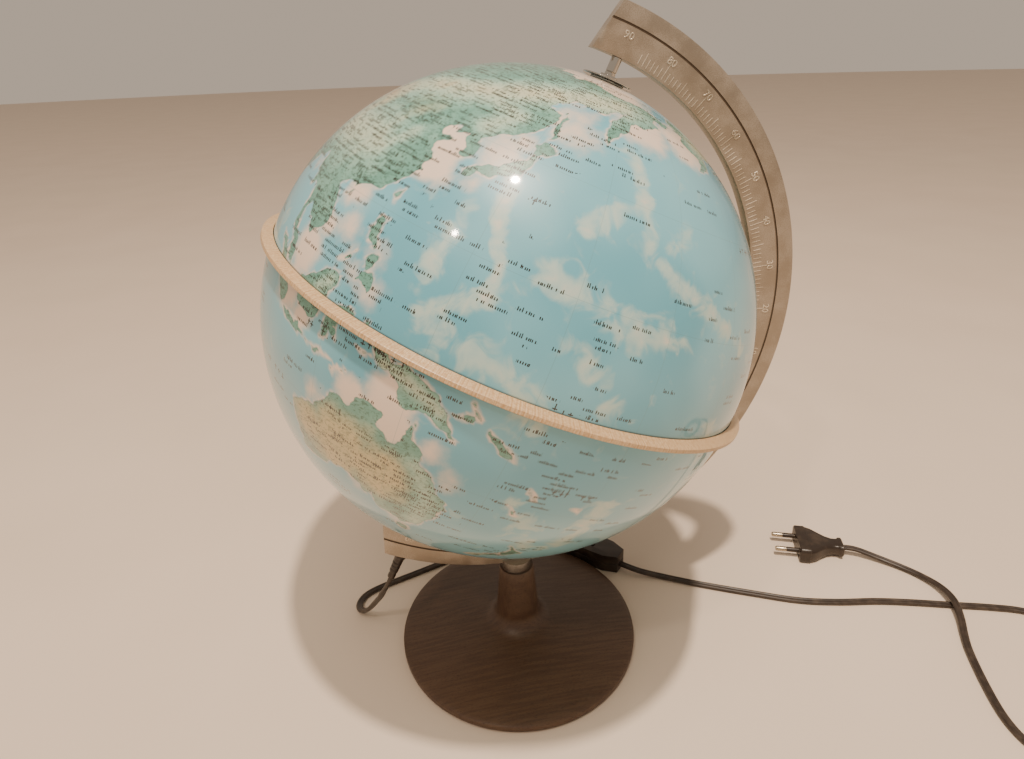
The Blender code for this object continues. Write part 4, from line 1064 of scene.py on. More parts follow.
@dataclass
class Lead:
    """The flat twin lead: from the arm to the switch, and on through its stored coil to the plug."""

    shop: Workshop
    width: float = 5.4
    core: float = 1.6  # radius of each insulated core
    rest: float = 2.0  # height of its middle on the table
    switch_middle: Point = (75.5, 66.5)
    switch_heading: float = math.radians(-45.0)
    switch_reach: float = 31.3  # from the switch's middle to where the lead goes in
    switch_approach: float = 38.0  # from its middle to where the lead has come into line
    switch_inlet: float = 5.6  # height of the lead in the switch
    plug_end: Point = (288.82, 21.13, 7.2)
    plug_heading: float = math.radians(-21.0)
    coil_middle: Point = (370.0, -144.0)
    coil_turns: float = 4.25
    inner_turn: float = 27.2  # radius
    outer_turn: float = 32.9
    upper_layer: float = 5.4  # height of the lead's middle
    spacing: float = 3.0  # between the sheath's sections
    material: bpy.types.Material = field(init=False)

    def __post_init__(self) -> None:
        """Make the sheath's material."""
        self.material = FlexPvc().build()

    def switch_end(self, along: float) -> Vector:
        """A point on the switch's long axis, at the height of the lead in it.

        Args:
            along: millimetres from the switch's middle.

        Returns:
            The point.
        """
        x, y = self.switch_middle
        way = self.switch_heading
        return Vector((x + along * math.cos(way), y + along * math.sin(way), self.switch_inlet))

    def lamp_route(self) -> list[Vector]:
        """The lead from the strain relief down to the table, back under the ball and into the switch.

        Returns:
            The points that it passes, in millimetres.
        """
        leave = BALL_MIDDLE - AXIS * 216.1
        z = self.rest
        points = [leave, leave - AXIS * 5.0, (-95.5, 1.0, 57.0), (-98.3, 4.8, 49.6), (-101.4, 10.4, 40.2)]
        points += [(-105.5, 17.6, 30.0), (-110.8, 25.4, 18.0), (-115.6, 33.0, 9.2), (-119.6, 39.6, 5.0)]
        points += [(-120.9, 46.6, 3.0), (-118.8, 53.4, 2.2), (-113.8, 59.0, z), (-103.0, 64.4, z)]
        points += [(-88.0, 69.5, z), (-64.0, 77.5, z), (-38.0, 86.5, z), (-12.0, 96.0, z)]
        points += [(10.0, 101.5, 2.5), (27.0, 103.0, 4.2), (40.0, 99.5, 5.2)]
        return [*points, self.switch_end(-self.switch_approach), self.switch_end(-self.switch_reach)]

    def coil_route(self) -> list[Vector]:
        """The spare length, wound clockwise in two layers of two turns, and off again on the outside.

        Returns:
            The points that it passes, in millimetres.
        """
        inner, outer, low, high = self.inner_turn, self.outer_turn, self.rest, self.upper_layer
        stages = [(0.0, outer + 4.9, low), (0.17, outer, low), (1.0, outer, low), (1.2, inner, low)]
        stages += [(2.0, inner, low), (2.2, inner, high), (3.0, inner, high), (3.2, outer, high)]
        stages += [(3.85, outer, high), (4.05, outer + 5.5, high), (4.17, outer + 5.5, 3.4)]
        stages.append((self.coil_turns, outer + 5.0, low))
        turns, radii, heights = zip(*stages)
        x, y = self.coil_middle
        steps = 18  # in a turn
        points = []
        for step in range(2, int(self.coil_turns * steps)):
            turn = step / steps
            radius, height = np.interp(turn, turns, radii), np.interp(turn, turns, heights)
            angle = -turn * math.tau
            points.append(Vector((x + radius * math.cos(angle), y + radius * math.sin(angle), height)))
        return points

    def plug_route(self) -> list[Vector]:
        """The lead from the switch through the coil to the plug.

        Returns:
            The points that it passes, in millimetres.
        """
        z = self.rest
        points = [self.switch_end(self.switch_reach), self.switch_end(self.switch_approach)]
        points += [(112.0, 33.5, 4.2), (128.0, 26.5, z)]
        points += [(154.2, 11.8, z), (190.2, -6.1, z), (221.5, -20.5, z), (250.0, -28.5, z)]
        points += [(279.6, -34.0, z), (306.0, -41.0, z), (335.0, -50.0, z), (358.7, -57.2, z)]
        points += [(380.0, -65.5, z), (397.0, -79.0, z), (405.6, -97.0, z), (408.4, -120.0, z)]
        points += [(407.8, -142.0, z), *self.coil_route(), (368.0, -181.8, z), (345.0, -184.4, z)]
        points += [(323.5, -185.2, z), (307.5, -180.5, z), (296.0, -169.5, z), (291.0, -155.0, z)]
        points += [(292.0, -138.0, z), (300.0, -115.0, z), (311.3, -90.0, z), (319.0, -76.8, 2.8)]
        points += [(327.3, -64.0, 4.6), (334.3, -49.5, 6.2), (336.6, -34.5, 4.9), (333.0, -19.5, 3.2)]
        points += [(324.3, -5.6, 2.9), (312.3, 6.6, 4.2), (301.0, 15.5, 6.4)]
        end = Vector(self.plug_end)
        way = Vector((math.cos(self.plug_heading), math.sin(self.plug_heading), 0.0))
        return [*points, end + way * 6.0, end]

    def section(self) -> list[tuple[float, float]]:
        """The outline across the twin sheath: a round over each core, with a waist between.

        Returns:
            Its points, in millimetres across and up.
        """
        apart = self.width / 2 - self.core
        waist = math.acos(apart / self.core)
        facets = 8
        points = []
        for side in (1, -1):
            for step in range(facets + 1):
                angle = (step / facets - 0.5) * 2 * (math.pi - waist)
                points.append((side * (apart + self.core * math.cos(angle)), side * self.core * math.sin(angle)))
        return points

    def sheath(
        self, name: str, points: Sequence[Point], stands_for: Sequence[str]
    ) -> tuple[bpy.types.Object, list[Vector]]:
        """Draw the twin sheath along a route.

        Args:
            name: the piece's name.
            points: the route's points in millimetres.
            stands_for: the CAD solids that it replaces.

        Returns:
            The piece, and the points down its middle in metres.
        """
        path = [point * MM for point in smooth_route(points, self.spacing)]
        line = np.array(path)
        ways = np.gradient(line, axis=0)
        sides = np.cross(ways, (0.0, 0.0, 1.0))
        sides /= np.linalg.norm(sides, axis=1)[:, None]
        reach = 4  # neighbours on each side that even out the twist
        padded = np.concatenate([sides[:1]] * reach + [sides] + [sides[-1:]] * reach)
        sides = np.stack([padded[i : i + 2 * reach + 1].mean(0) for i in range(len(line))])
        section = self.section()
        rings = []
        for spot, way, side in zip(line, ways, sides):
            way = Vector(way).normalized()
            across = Vector(side)
            across = (across - way * across.dot(way)).normalized()
            lift = across.cross(way)
            rings.append([Vector(spot) / MM + across * x + lift * y for x, y in section])
        cord = self.shop.piece(
            name, lofted(rings), Body.STAND, [self.material], stands_for=stands_for, slot="cord_sheath"
        )
        return cord, path

    def build(
        self,
        switch: Sequence[bpy.types.Object],
        plug: Sequence[bpy.types.Object],
        fittings: Sequence[bpy.types.Object],
    ) -> None:
        """Args:
            switch: not used.
            plug: not used.
            fittings: not used.
        """
        lamp, path = self.sheath("lead_to_switch", self.lamp_route(), ["cord_lamp_side"])
        solids = ["cord_switch_side", "cord_coil", "cord_plug_side"]
        main, path = self.sheath("lead_to_plug", self.plug_route(), solids)
        measured = float(np.linalg.norm(np.diff(np.array(path), axis=0), axis=1).sum())
        LOG.info("lead to plug measures %.3f m", measured)


@dataclass
class Foot:
    """The turned foot with its felt pad, and the ferrule, rod, washer and nut that hold the arm to it."""

    shop: Workshop
    radius: float = 87.0
    underside: float = 1.8
    edge_top: float = 6.0
    stem_top: float = 61.8
    stem_top_radius: float = 12.6
    stem_low_radius: float = 15.6
    stem_low: float = 25.0
    flare: float = 12.0
    recess_radius: float = 14.0
    recess_top: float = 12.0
    bore: float = 3.4
    pad_radius: float = 82.0
    pad_thickness: float = 1.5
    ferrule_radius: float = 11.5
    ferrule_bore: float = 2.8
    half_slot: float = 4.5  # of the ferrule's slot for the arm's edge
    slot_floor: float = 66.2
    steps: int = 144

    def profile(self) -> list[Point]:
        """The foot's outline, from the stem's top down its outside and up the recess.

        Returns:
            The radius and height of each corner in millimetres.
        """
        waist = 0.2  # how far the stem draws in between its ends
        outline = [(self.stem_top_radius, self.stem_top)]
        for share in (0.2, 0.4, 0.6, 0.8):
            radius = self.stem_top_radius + (self.stem_low_radius - self.stem_top_radius) * share
            height = self.stem_top + (self.stem_low - self.stem_top) * share
            outline.append((radius - waist * math.sin(share * math.pi), height))
        arc_steps = 12
        for step in range(arc_steps + 1):
            angle = math.radians(176.0 + 90.0 * step / arc_steps)
            radius = self.stem_low_radius + self.flare + self.flare * math.cos(angle)
            outline.append((radius, self.stem_low + self.flare * math.sin(angle)))
        outline += [(36.0, 11.7), (45.0, 10.6), (56.0, 9.4), (66.0, 8.4), (76.0, 7.5), (self.radius - 3.0, 6.8)]
        outline += [(self.radius, self.edge_top - 0.2), (self.radius, self.underside)]
        outline += [(self.recess_radius, self.underside), (self.recess_radius, self.recess_top)]
        return outline + [(self.bore, self.recess_top), (self.bore, self.stem_top)]

    def build(self, wood: StainedBeech, felt: PressedFelt, chrome: Metal, steel: Metal) -> None:
        """Make the foot's pieces.

        Args:
            wood: the foot's finish.
            felt: the pad's finish.
            chrome: the ferrule's finish.
            steel: the hidden fixings' finish.
        """
        foot = turned(self.profile(), self.steps, soften=0.7, segments=3)
        self.shop.piece("turned_foot", foot, Body.STAND, [wood.build()], stands_for=["foot"], slot="walnut")
        rim, top = self.pad_radius, self.pad_thickness
        pad = turned([(0.0, 0.0), (rim, 0.0), (rim, top), (0.0, top)], self.steps, soften=0.35)
        self.shop.piece("felt_base", pad, Body.STAND, [felt.build()], stands_for=["felt_pad"], slot="felt")
        self.ferrule(chrome)
        self.shop.dress(steel.build(), "tie_rod", "foot_washer", "foot_nut")

    def ferrule(self, chrome: Metal) -> None:
        """Make the ferrule, whose slot takes the arm's edge.

        Args:
            chrome: its finish.
        """
        low, high = (corner.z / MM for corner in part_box("ferrule"))
        outer, bore = self.ferrule_radius, self.ferrule_bore
        shape = turned([(bore, low), (outer, low), (outer, high), (bore, high)], self.steps // 2)
        for side in (1, -1):
            cut(shape, (0.0, side * self.half_slot, 0.0), (0.0, 1.0, 0.0))
        cut(shape, (0.0, 0.0, self.slot_floor), (0.0, 0.0, 1.0))
        in_slot = []
        for face in shape.faces:
            middle = face.calc_center_median() / MM
            if middle.z > self.slot_floor and abs(middle.y) < self.half_slot:
                in_slot.append(face)
        bmesh.ops.delete(shape, geom=in_slot, context="FACES")
        close_holes(shape)
        plate = chrome.build()
        self.shop.piece("slotted_ferrule", shape, Body.STAND, [plate], stands_for=["ferrule"], slot="chrome")


@dataclass
class MeridianArm:
    """The flat curved arm with its groove on both faces, and its raised degree scale."""

    shop: Workshop
    inner: float = 165.5
    outer: float = 195.5
    thickness: float = 8.4
    top_end: Point = (6.2, 3.2)  # degrees past the pole, at the inner and the outer edge
    bottom_end: Point = (9.0, 3.6)
    before_pole: float = 9.0  # degrees that the raw bar starts before the pole, ahead of its cut ends
    sweep: float = 201.0
    groove: float = 184.5
    groove_width: float = 1.4
    groove_depth: float = 0.7
    groove_slope: float = 0.25
    soft: float = 0.55
    steps: int = 168
    tick_width: float = 0.55
    tick_height: float = 0.28
    tick_start: float = 166.9
    tick_lengths: Point = (10.4, 8.4, 6.0)  # at tens, at fives, and between
    digit_size: float = 6.4
    digit_radius: float = 178.6

    def at(self, radius: float, degrees: float, side: float = 0.0) -> Vector:
        """A point of the arm's plane: radius, degrees from the pole, and offset across the plane."""
        angle = math.radians(degrees)
        return Vector((radius * math.sin(angle), side, radius * math.cos(angle)))

    def body(self) -> bmesh.types.BMesh:
        """The arm without its scale.

        Returns:
            Its shape in the polar frame, with the grooves' floors in material slot 1, whose darker finish is
            painted shade.
        """
        shape = bmesh.new()
        half = self.thickness / 2
        low, high = self.groove - self.groove_width / 2, self.groove + self.groove_width / 2
        deep, floor_low, floor_high = half - self.groove_depth, low + self.groove_slope, high - self.groove_slope
        section = [(self.inner, -half), (low, -half), (floor_low, -deep), (floor_high, -deep), (high, -half)]
        section += [(self.outer, -half), (self.outer, half), (high, half), (floor_high, deep)]
        section += [(floor_low, deep), (low, half), (self.inner, half)]
        ring = [shape.verts.new(self.at(radius, -self.before_pole, side) * MM) for radius, side in section]
        edges = [shape.edges.new(pair) for pair in zip(ring, ring[1:] + ring[:1])]
        bmesh.ops.spin(
            shape,
            geom=ring + edges,
            cent=(0.0, 0.0, 0.0),
            axis=(0.0, 1.0, 0.0),
            angle=math.radians(self.sweep),
            steps=self.steps,
            use_merge=False,
            use_duplicate=False,
        )
        for ends, base, sign in ((self.top_end, 0.0, -1.0), (self.bottom_end, 180.0, 1.0)):
            near = self.at(self.inner, base + sign * ends[0])
            far = self.at(self.outer, base + sign * ends[1])
            along = (far - near).normalized()
            outward = Vector((along.z, 0.0, -along.x))
            if outward.dot(self.at(1.0, base + sign * 90.0)) < 0:
                outward = -outward
            cut(shape, near, outward, trim=True)
        close_holes(shape)
        bmesh.ops.recalc_face_normals(shape, faces=shape.faces)
        slack = 0.01  # millimetres
        # Painted shade: the grooves' floors take the darker second material.
        for face in shape.faces:
            middle = face.calc_center_median() / MM
            if low < math.hypot(middle.x, middle.z) < high and deep - slack < abs(middle.y) < half - slack:
                face.material_index = 1
        rim = []
        for edge in crisp_edges(shape):
            radii = [math.hypot(vertex.co.x, vertex.co.z) / MM for vertex in edge.verts]
            if not any(low - 0.1 < radius < high + 0.1 for radius in radii):
                rim.append(edge)
        round_edges(shape, self.soft, segments=3, edges=rim)
        return shape

    def ticks(self) -> bmesh.types.BMesh:
        """A raised stroke for every degree on both faces, longer at fives and tens.

        Returns:
            The strokes in the polar frame.
        """
        shape = bmesh.new()
        at_tens, at_fives, between = self.tick_lengths
        for face in (-1.0, 1.0):
            for degree in range(4, 177):
                long = at_tens if degree % 10 == 0 else at_fives if degree % 5 == 0 else between
                made = bmesh.ops.create_cube(shape, size=1.0)["verts"]
                size = Vector((self.tick_width, self.tick_height * 2, long)) * MM
                bmesh.ops.scale(shape, verts=made, vec=size)
                outer = [vertex for vertex in made if vertex.co.y * face > 0]
                bmesh.ops.scale(shape, verts=outer, vec=(0.55, 1.0, 0.95))
                spot = self.at(self.tick_start + long / 2, degree, face * self.thickness / 2)
                turn = Matrix.Rotation(math.radians(degree), 4, "Y")
                bmesh.ops.transform(shape, verts=made, matrix=Matrix.Translation(spot * MM) @ turn)
        return shape

    def digits(self) -> bmesh.types.BMesh:
        """Raised degree numbers every ten degrees: 90 at the poles and 0 at the equator.

        Returns:
            The numbers in the polar frame.
        """
        shape = bmesh.new()
        for face in (-1.0, 1.0):
            for degree in range(0, 181, 10):
                data = bpy.data.curves.new("number", "FONT")
                data.body = str(abs(90 - degree))
                data.size = self.digit_size * MM
                data.align_x = "CENTER"
                data.align_y = "CENTER"
                data.extrude = self.tick_height * MM
                data.bevel_depth = 0.08 * MM
                data.resolution_u = 2
                text = bpy.data.objects.new("number", data)
                bpy.context.scene.collection.objects.link(text)
                bpy.context.view_layer.update()
                finished = text.evaluated_get(bpy.context.evaluated_depsgraph_get())
                mesh = bpy.data.meshes.new_from_object(finished)
                stand = Matrix.Rotation(math.pi / 2, 4, "X")
                if face > 0:
                    stand = Matrix.Rotation(math.pi, 4, "Z") @ stand
                turn = Matrix.Rotation(math.radians(degree), 4, "Y")
                spot = self.at(self.digit_radius, degree, face * self.thickness / 2)
                mesh.transform(Matrix.Translation(spot * MM) @ turn @ stand)
                shape.from_mesh(mesh)
                bpy.data.objects.remove(text, do_unlink=True)
                bpy.data.curves.remove(data)
                bpy.data.meshes.remove(mesh)
        return shape

    def build(self, metal: Metal, groove: Metal, raised: Metal) -> None:
        """Make the arm and its scale.

        Args:
            metal: the arm's finish.
            groove: the darker finish of the groove's floor, painted shade.
            raised: the finish of the raised marks, painted pale as a painted highlight.
        """
        plate, line, bright = metal.build(), groove.build(), raised.build()
        arm, stands_for = self.body(), ["meridian_arm"]
        self.shop.piece("curved_arm", arm, Body.STAND, [plate, line], POLAR, stands_for, slot="arm_metal")
        self.shop.piece("arm_degree_strokes", self.ticks(), Body.STAND, [bright], POLAR, slot="arm_metal")
        self.shop.piece("arm_degree_numbers", self.digits(), Body.STAND, [bright], POLAR, slot="arm_metal")


@dataclass
class PoleFittings:
    """What holds the ball between the arm's ends: pins, nuts, thin discs, sleeve and strain relief."""

    shop: Workshop
    arm_inner: float = 165.5
    arm_outer: float = 195.5
    disc_radius: float = 15.5
    nut_across_flats: float = 9.6
    steps: int = 64

    def turn(
        self,
        name: str,
        profile: Sequence[Point],
        body: Body,
        material: bpy.types.Material,
        node: str,
        slot: str,
        soften: float,
    ) -> None:
        """Make one turned fitting on the polar axis in place of its CAD node.

        Args:
            name: the piece's name.
            profile: its outline.
            body: its body.
            material: its material.
            node: the CAD node.
            slot: the material slot.
            soften: its bevel in millimetres.
        """
        shape = turned(profile, self.steps, soften)
        self.shop.piece(name, shape, body, [material], POLAR, stands_for=[node], slot=slot)

    def nut(
        self, name: str, low: float, high: float, bore: float, material: bpy.types.Material, node: str
    ) -> None:
        """Make one hexagonal nut on the polar axis.

        Args:
            name: the piece's name.
            low: its lower face in millimetres.
            high: its upper face in millimetres.
            bore: its hole's radius in millimetres.
            material: its material.
            node: the CAD node.
        """
        corner = self.nut_across_flats / 2 / math.cos(math.pi / 6)
        shape = turned([(bore, low), (corner, low), (corner, high), (bore, high)], 6, soften=0.28)
        self.shop.piece(name, shape, Body.STAND, [material], POLAR, stands_for=[node], slot="chrome")

    def build(self, chrome: Metal, steel: Metal, plastic: MouldedPlastic) -> None:
        """Make the fittings.

        Args:
            chrome: the bright fittings' finish.
            steel: the lamp tube's finish.
            plastic: the strain relief's finish.
        """
        bright, dark = chrome.build(), plastic.build()
        shoulder, stud_top = self.arm_inner - 0.3, self.arm_inner + 12.5
        pin = [(0.0, 140.0), (2.3, 140.0), (3.3, 141.0), (3.3, 156.2), (2.9, 156.6), (3.3, 157.0)]
        pin += [(3.3, shoulder), (2.2, shoulder), (2.2, stud_top), (0.0, stud_top)]
        self.turn("pivot_pin", pin, Body.STAND, bright, "top_pivot_pin", "chrome", 0.0)
        self.nut("pivot_lock_nut", 152.6, 154.6, 3.6, bright, "top_lock_nut")
        disc = [(3.6, 151.3), (self.disc_radius, 151.3), (self.disc_radius, 152.0), (6.4, 152.3), (3.6, 152.3)]
        self.turn("pole_washer", disc, Body.BALL, bright, "pole_disc", "chrome", 0.12)
        low = [(3.3, -152.6), (self.disc_radius, -152.6), (self.disc_radius, -151.6), (3.3, -151.6)]
        self.turn("south_washer", low, Body.STAND, bright, "support_disc", "chrome", 0.2)
        base = -self.arm_inner + 0.3
        self.nut("lamp_tube_lock_nut", base, base + 3.6, 3.3, bright, "lamp_tube_nut")
        self.shop.dress(bright, "support_sleeve")
        self.shop.dress(steel.build(), "lamp_tube")
        rim = -self.arm_outer - 0.3
        relief = [(0.0, rim + 5.0), (3.0, rim + 5.0), (3.0, rim), (4.4, rim), (4.4, rim - 1.6)]
        relief.append((3.6, rim - 2.2))
        rib_pitch, taper, groove, tail = 3.2, 0.14, 0.5, rim - 20.0
        for rib in range(4):
            top = rim - 3.6 - rib * rib_pitch
            radius = 3.5 - rib * taper
            deep = radius - groove
            relief += [(radius, top), (radius, top - 1.7), (deep, top - 2.0), (deep, top - 2.9)]
        relief += [(2.8, tail + 2.0), (2.75, tail), (0.0, tail)]
        relief.reverse()
        self.turn("lead_strain_relief", relief, Body.STAND, dark, "cord_strain_relief", "dark_plastic", 0.12)


@dataclass
class Lamp:
    """The lamp holder, bulb and inner leads inside the ball, whose CAD shapes stay."""

    shop: Workshop

    def build(self, bakelite: MouldedPlastic, brass: Metal, glass: OpalGlass, wire: Metal) -> None:
        """Dress the lamp's CAD nodes.

        Args:
            bakelite: the holder's finish.
            brass: the finish of its shell, contact and the bulb's cap.
            glass: the bulb's finish.
            wire: the finish of the filament and leads.
        """
        self.shop.dress(bakelite.build(), "lamp_holder")
        self.shop.dress(brass.build(), "holder_screw_shell", "holder_contact", "bulb_cap")
        self.shop.dress(glass.build(), "bulb_glass")
        self.shop.dress(wire.build(), "bulb_filament", "inner_lead_live", "inner_lead_neutral")


# Mountain ranges: their height as a share of the tallest, their reach in degrees, and places along them.
RANGES: tuple[tuple[float, float, str], ...] = (
    (0.6, 6.5, "72 36, 78 33, 86 31, 95 30.5, 103 30"),
    (0.7, 4.5, "72 40, 82 42, 90 45, 98 48, 110 50, 120 53, 128 56, 140 61, 150 63, 162 65"),
    (0.5, 2.2, "60 52, 59 60, 65 67"),
    (0.6, 3.0, "30 38, 42 39, 46 35, 52 31, 58 29, 62 35"),
    (0.6, 1.8, "7 46, 13 47"),
    (0.6, 1.8, "8 60, 14 65"),
    (0.55, 3.0, "-5 32, 4 35"),
    (0.6, 3.5, "37 10, 39 7, 36 -1, 34 -9, 33 -15"),
    (0.5, 3.0, "29 -30, 27 -31"),
    (0.75, 4.5, "-150 63, -138 60, -126 54, -116 47, -109 41, -106 34, -104 25, -99 19, -91 15"),
    (0.4, 2.0, "-83 36, -76 42"),
    (0.9, 2.8, "-73 8, -77 1, -78 -6, -73 -14, -68 -18, -68 -25, -70 -33, -72 -42, -73 -50"),
    (0.4, 3.0, "-44 -20, -46 -23"),
    (0.4, 2.2, "146 -20, 150 -27, 149 -36"),
    (0.6, 1.5, "134 -3.5, 139 -4, 146 -6.5"),
    (0.4, 1.2, "137.5 36, 139 37, 140.5 39.5"),
    (0.5, 2.0, "102 26, 108 30, 112 35"),
    (0.6, 1.4, "170 -44, 168 -45.5"),
    (0.45, 1.5, "115 2, 117 4"),
    (0.5, 2.5, "127 43, 131 48, 122 50"),
    (0.7, 5.0, "-40 70, -40 77"),
)
# Spots of drought, shallow sea and crowded print: longitude, latitude, reach in degrees, and amount.
DESERTS: tuple[tuple[float, float, float, float], ...] = (
    (128, -25, 9, 1.0), (138, -26, 8, 0.9), (120, -25, 7, 0.8), (134, -20, 6, 0.5), (143, -30, 5, 0.5),
    (-5, 23, 12, 1.0), (10, 24, 13, 1.0), (25, 23, 12, 1.0), (45, 23, 11, 1.0), (60, 32, 8, 0.8),
    (62, 42, 9, 0.7), (85, 40, 9, 0.5), (105, 43, 9, 0.45), (22, -24, 7, 0.8), (-112, 33, 6, 0.7),
    (-69, -27, 5, 0.6), (-68, -43, 5, 0.6), (72, 27, 4, 0.7), (46, 5, 5, 0.5),
)
SHELVES: tuple[tuple[float, float, float, float], ...] = (
    (123, 36, 5, 1.0), (123.5, 31, 4.5, 1.0), (119, 38.5, 3, 1.0), (112, 20, 5, 0.7), (134, 39, 6, 0.75),
    (138, 43, 4, 0.7), (115, 14, 6, 0.62), (147, 50, 8, 0.62), (126, 6, 5, 0.6), (121, 8, 4, 0.6),
    (127, 29, 4, 0.6), (133, 31, 4, 0.55), (107, 6, 6, 0.9), (110, 12, 4, 0.7), (106, -2, 6, 0.9),
    (113, -5, 4, 0.8), (119, 11, 4, 0.5), (124, 12, 5, 0.6), (137, -9, 6, 1.0), (139, -13, 5, 1.0),
    (129, -12, 5, 0.8), (121, -17, 5, 0.6), (147, -15, 5, 0.6), (152, -20, 5, 0.6), (145, 55, 7, 0.6),
    (141, 51, 4, 0.7), (170, 60, 8, 0.9), (-168, 61, 8, 0.9), (150, 75, 12, 0.9), (110, 77, 10, 0.9),
    (60, 74, 10, 0.8), (2, 56, 6, 1.0), (-8, 50, 6, 0.6), (20, 60, 6, 0.8), (-50, 45, 6, 0.8),
    (-83, 27, 4, 0.6), (-77, 24, 4, 0.8), (-85, 60, 8, 0.7), (-60, -45, 8, 0.9), (-48, 0, 4, 0.6),
    (73, 18, 4, 0.5), (90, 20, 4, 0.5), (50, 27, 4, 0.8), (134, -34, 5, 0.5), (145, -39, 4, 0.6),
)
# Ridges of the sea floor, written as the ranges are.
RISES: tuple[tuple[float, float, str], ...] = (
    (0.5, 2.0, "140 34, 142 27, 145 20, 145.5 14, 141 11, 136 8"),
    (0.36, 2.2, "167 50, 170 40, 172 32, 180 28, 195 24, 205 19"),
    (0.34, 3.4, "154 22, 162 20, 172 18, 182 18"),
    (0.36, 3.6, "158 32, 161 36"),
    (0.3, 3.0, "178 35, 182 38"),
    (0.34, 3.0, "172 5, 168 9, 163 12"),
    (0.36, 3.4, "138 6, 146 5, 153 4, 158 1, 162 -3"),
    (0.3, 2.6, "135 27, 135 19, 134 11"),
    (0.3, 3.0, "200 3, 204 -4, 210 -12, 216 -18"),
    (0.34, 3.2, "165 -20, 172 -27, 176 -33"),
    (0.36, 3.4, "183 -16, 184 -24, 182 -32"),
    (0.36, 3.0, "-33 60, -28 52, -30 40, -44 26, -45 15, -30 4, -14 -3, -14 -20, -13 -38, -5 -52"),
    (0.34, 4.0, "-108 20, -104 8, -106 -8, -112 -24, -112 -40, -124 -54"),
    (0.34, 3.4, "58 8, 66 -4, 69 -18, 76 -32, 92 -42, 115 -50, 150 -58"),
    (0.3, 2.4, "90 8, 89 -8, 88 -24"),
)
CROWDS: tuple[tuple[float, float, float, float], ...] = (
    (122, 30, 14, 0.95), (138, 38, 8, 0.95), (110, 10, 12, 0.95), (122, 5, 12, 1.0), (130, -3, 10, 0.95),
    (145, -5, 8, 0.9), (150, 8, 11, 0.75), (165, 8, 11, 0.7), (165, -14, 12, 0.8), (142, 22, 7, 0.7),
    (100, 30, 18, 0.9), (80, 22, 14, 0.95), (130, 62, 26, 0.8), (10, 48, 16, 1.0), (40, 50, 20, 0.9),
    (45, 25, 16, 0.8),
    (0, 8, 22, 0.85), (30, -5, 20, 0.85), (-95, 40, 24, 0.9), (-70, 16, 14, 0.95), (-60, -15, 24, 0.8),
    (148, -28, 9, 0.95), (132, -25, 12, 0.7), (174, -40, 8, 0.8), (185, -16, 12, 0.7), (180, 52, 10, 0.5),
)


def track(text: str) -> np.ndarray:
    """Turn written places, each a longitude and a latitude in degrees, into an array with a row for each."""
    return np.array([[float(number) for number in place.split()] for place in text.split(",")])


def subdivided(line: np.ndarray, step: float, closed: bool) -> np.ndarray:
    """Add places along a line of places.

    Args:
        line: the places.
        step: the most degrees between neighbours.
        closed: whether the last is joined to the first.

    Returns:
        The places, with those added.
    """
    ends = np.roll(line, -1, axis=0) if closed else line[1:]
    parts = []
    for start, end in zip(line, ends):
        count = max(1, math.ceil(np.abs(end - start).max() / step))
        share = np.arange(count)[:, None] / count
        parts.append(start + (end - start) * share)
    return np.concatenate([*parts, line[-1:]])


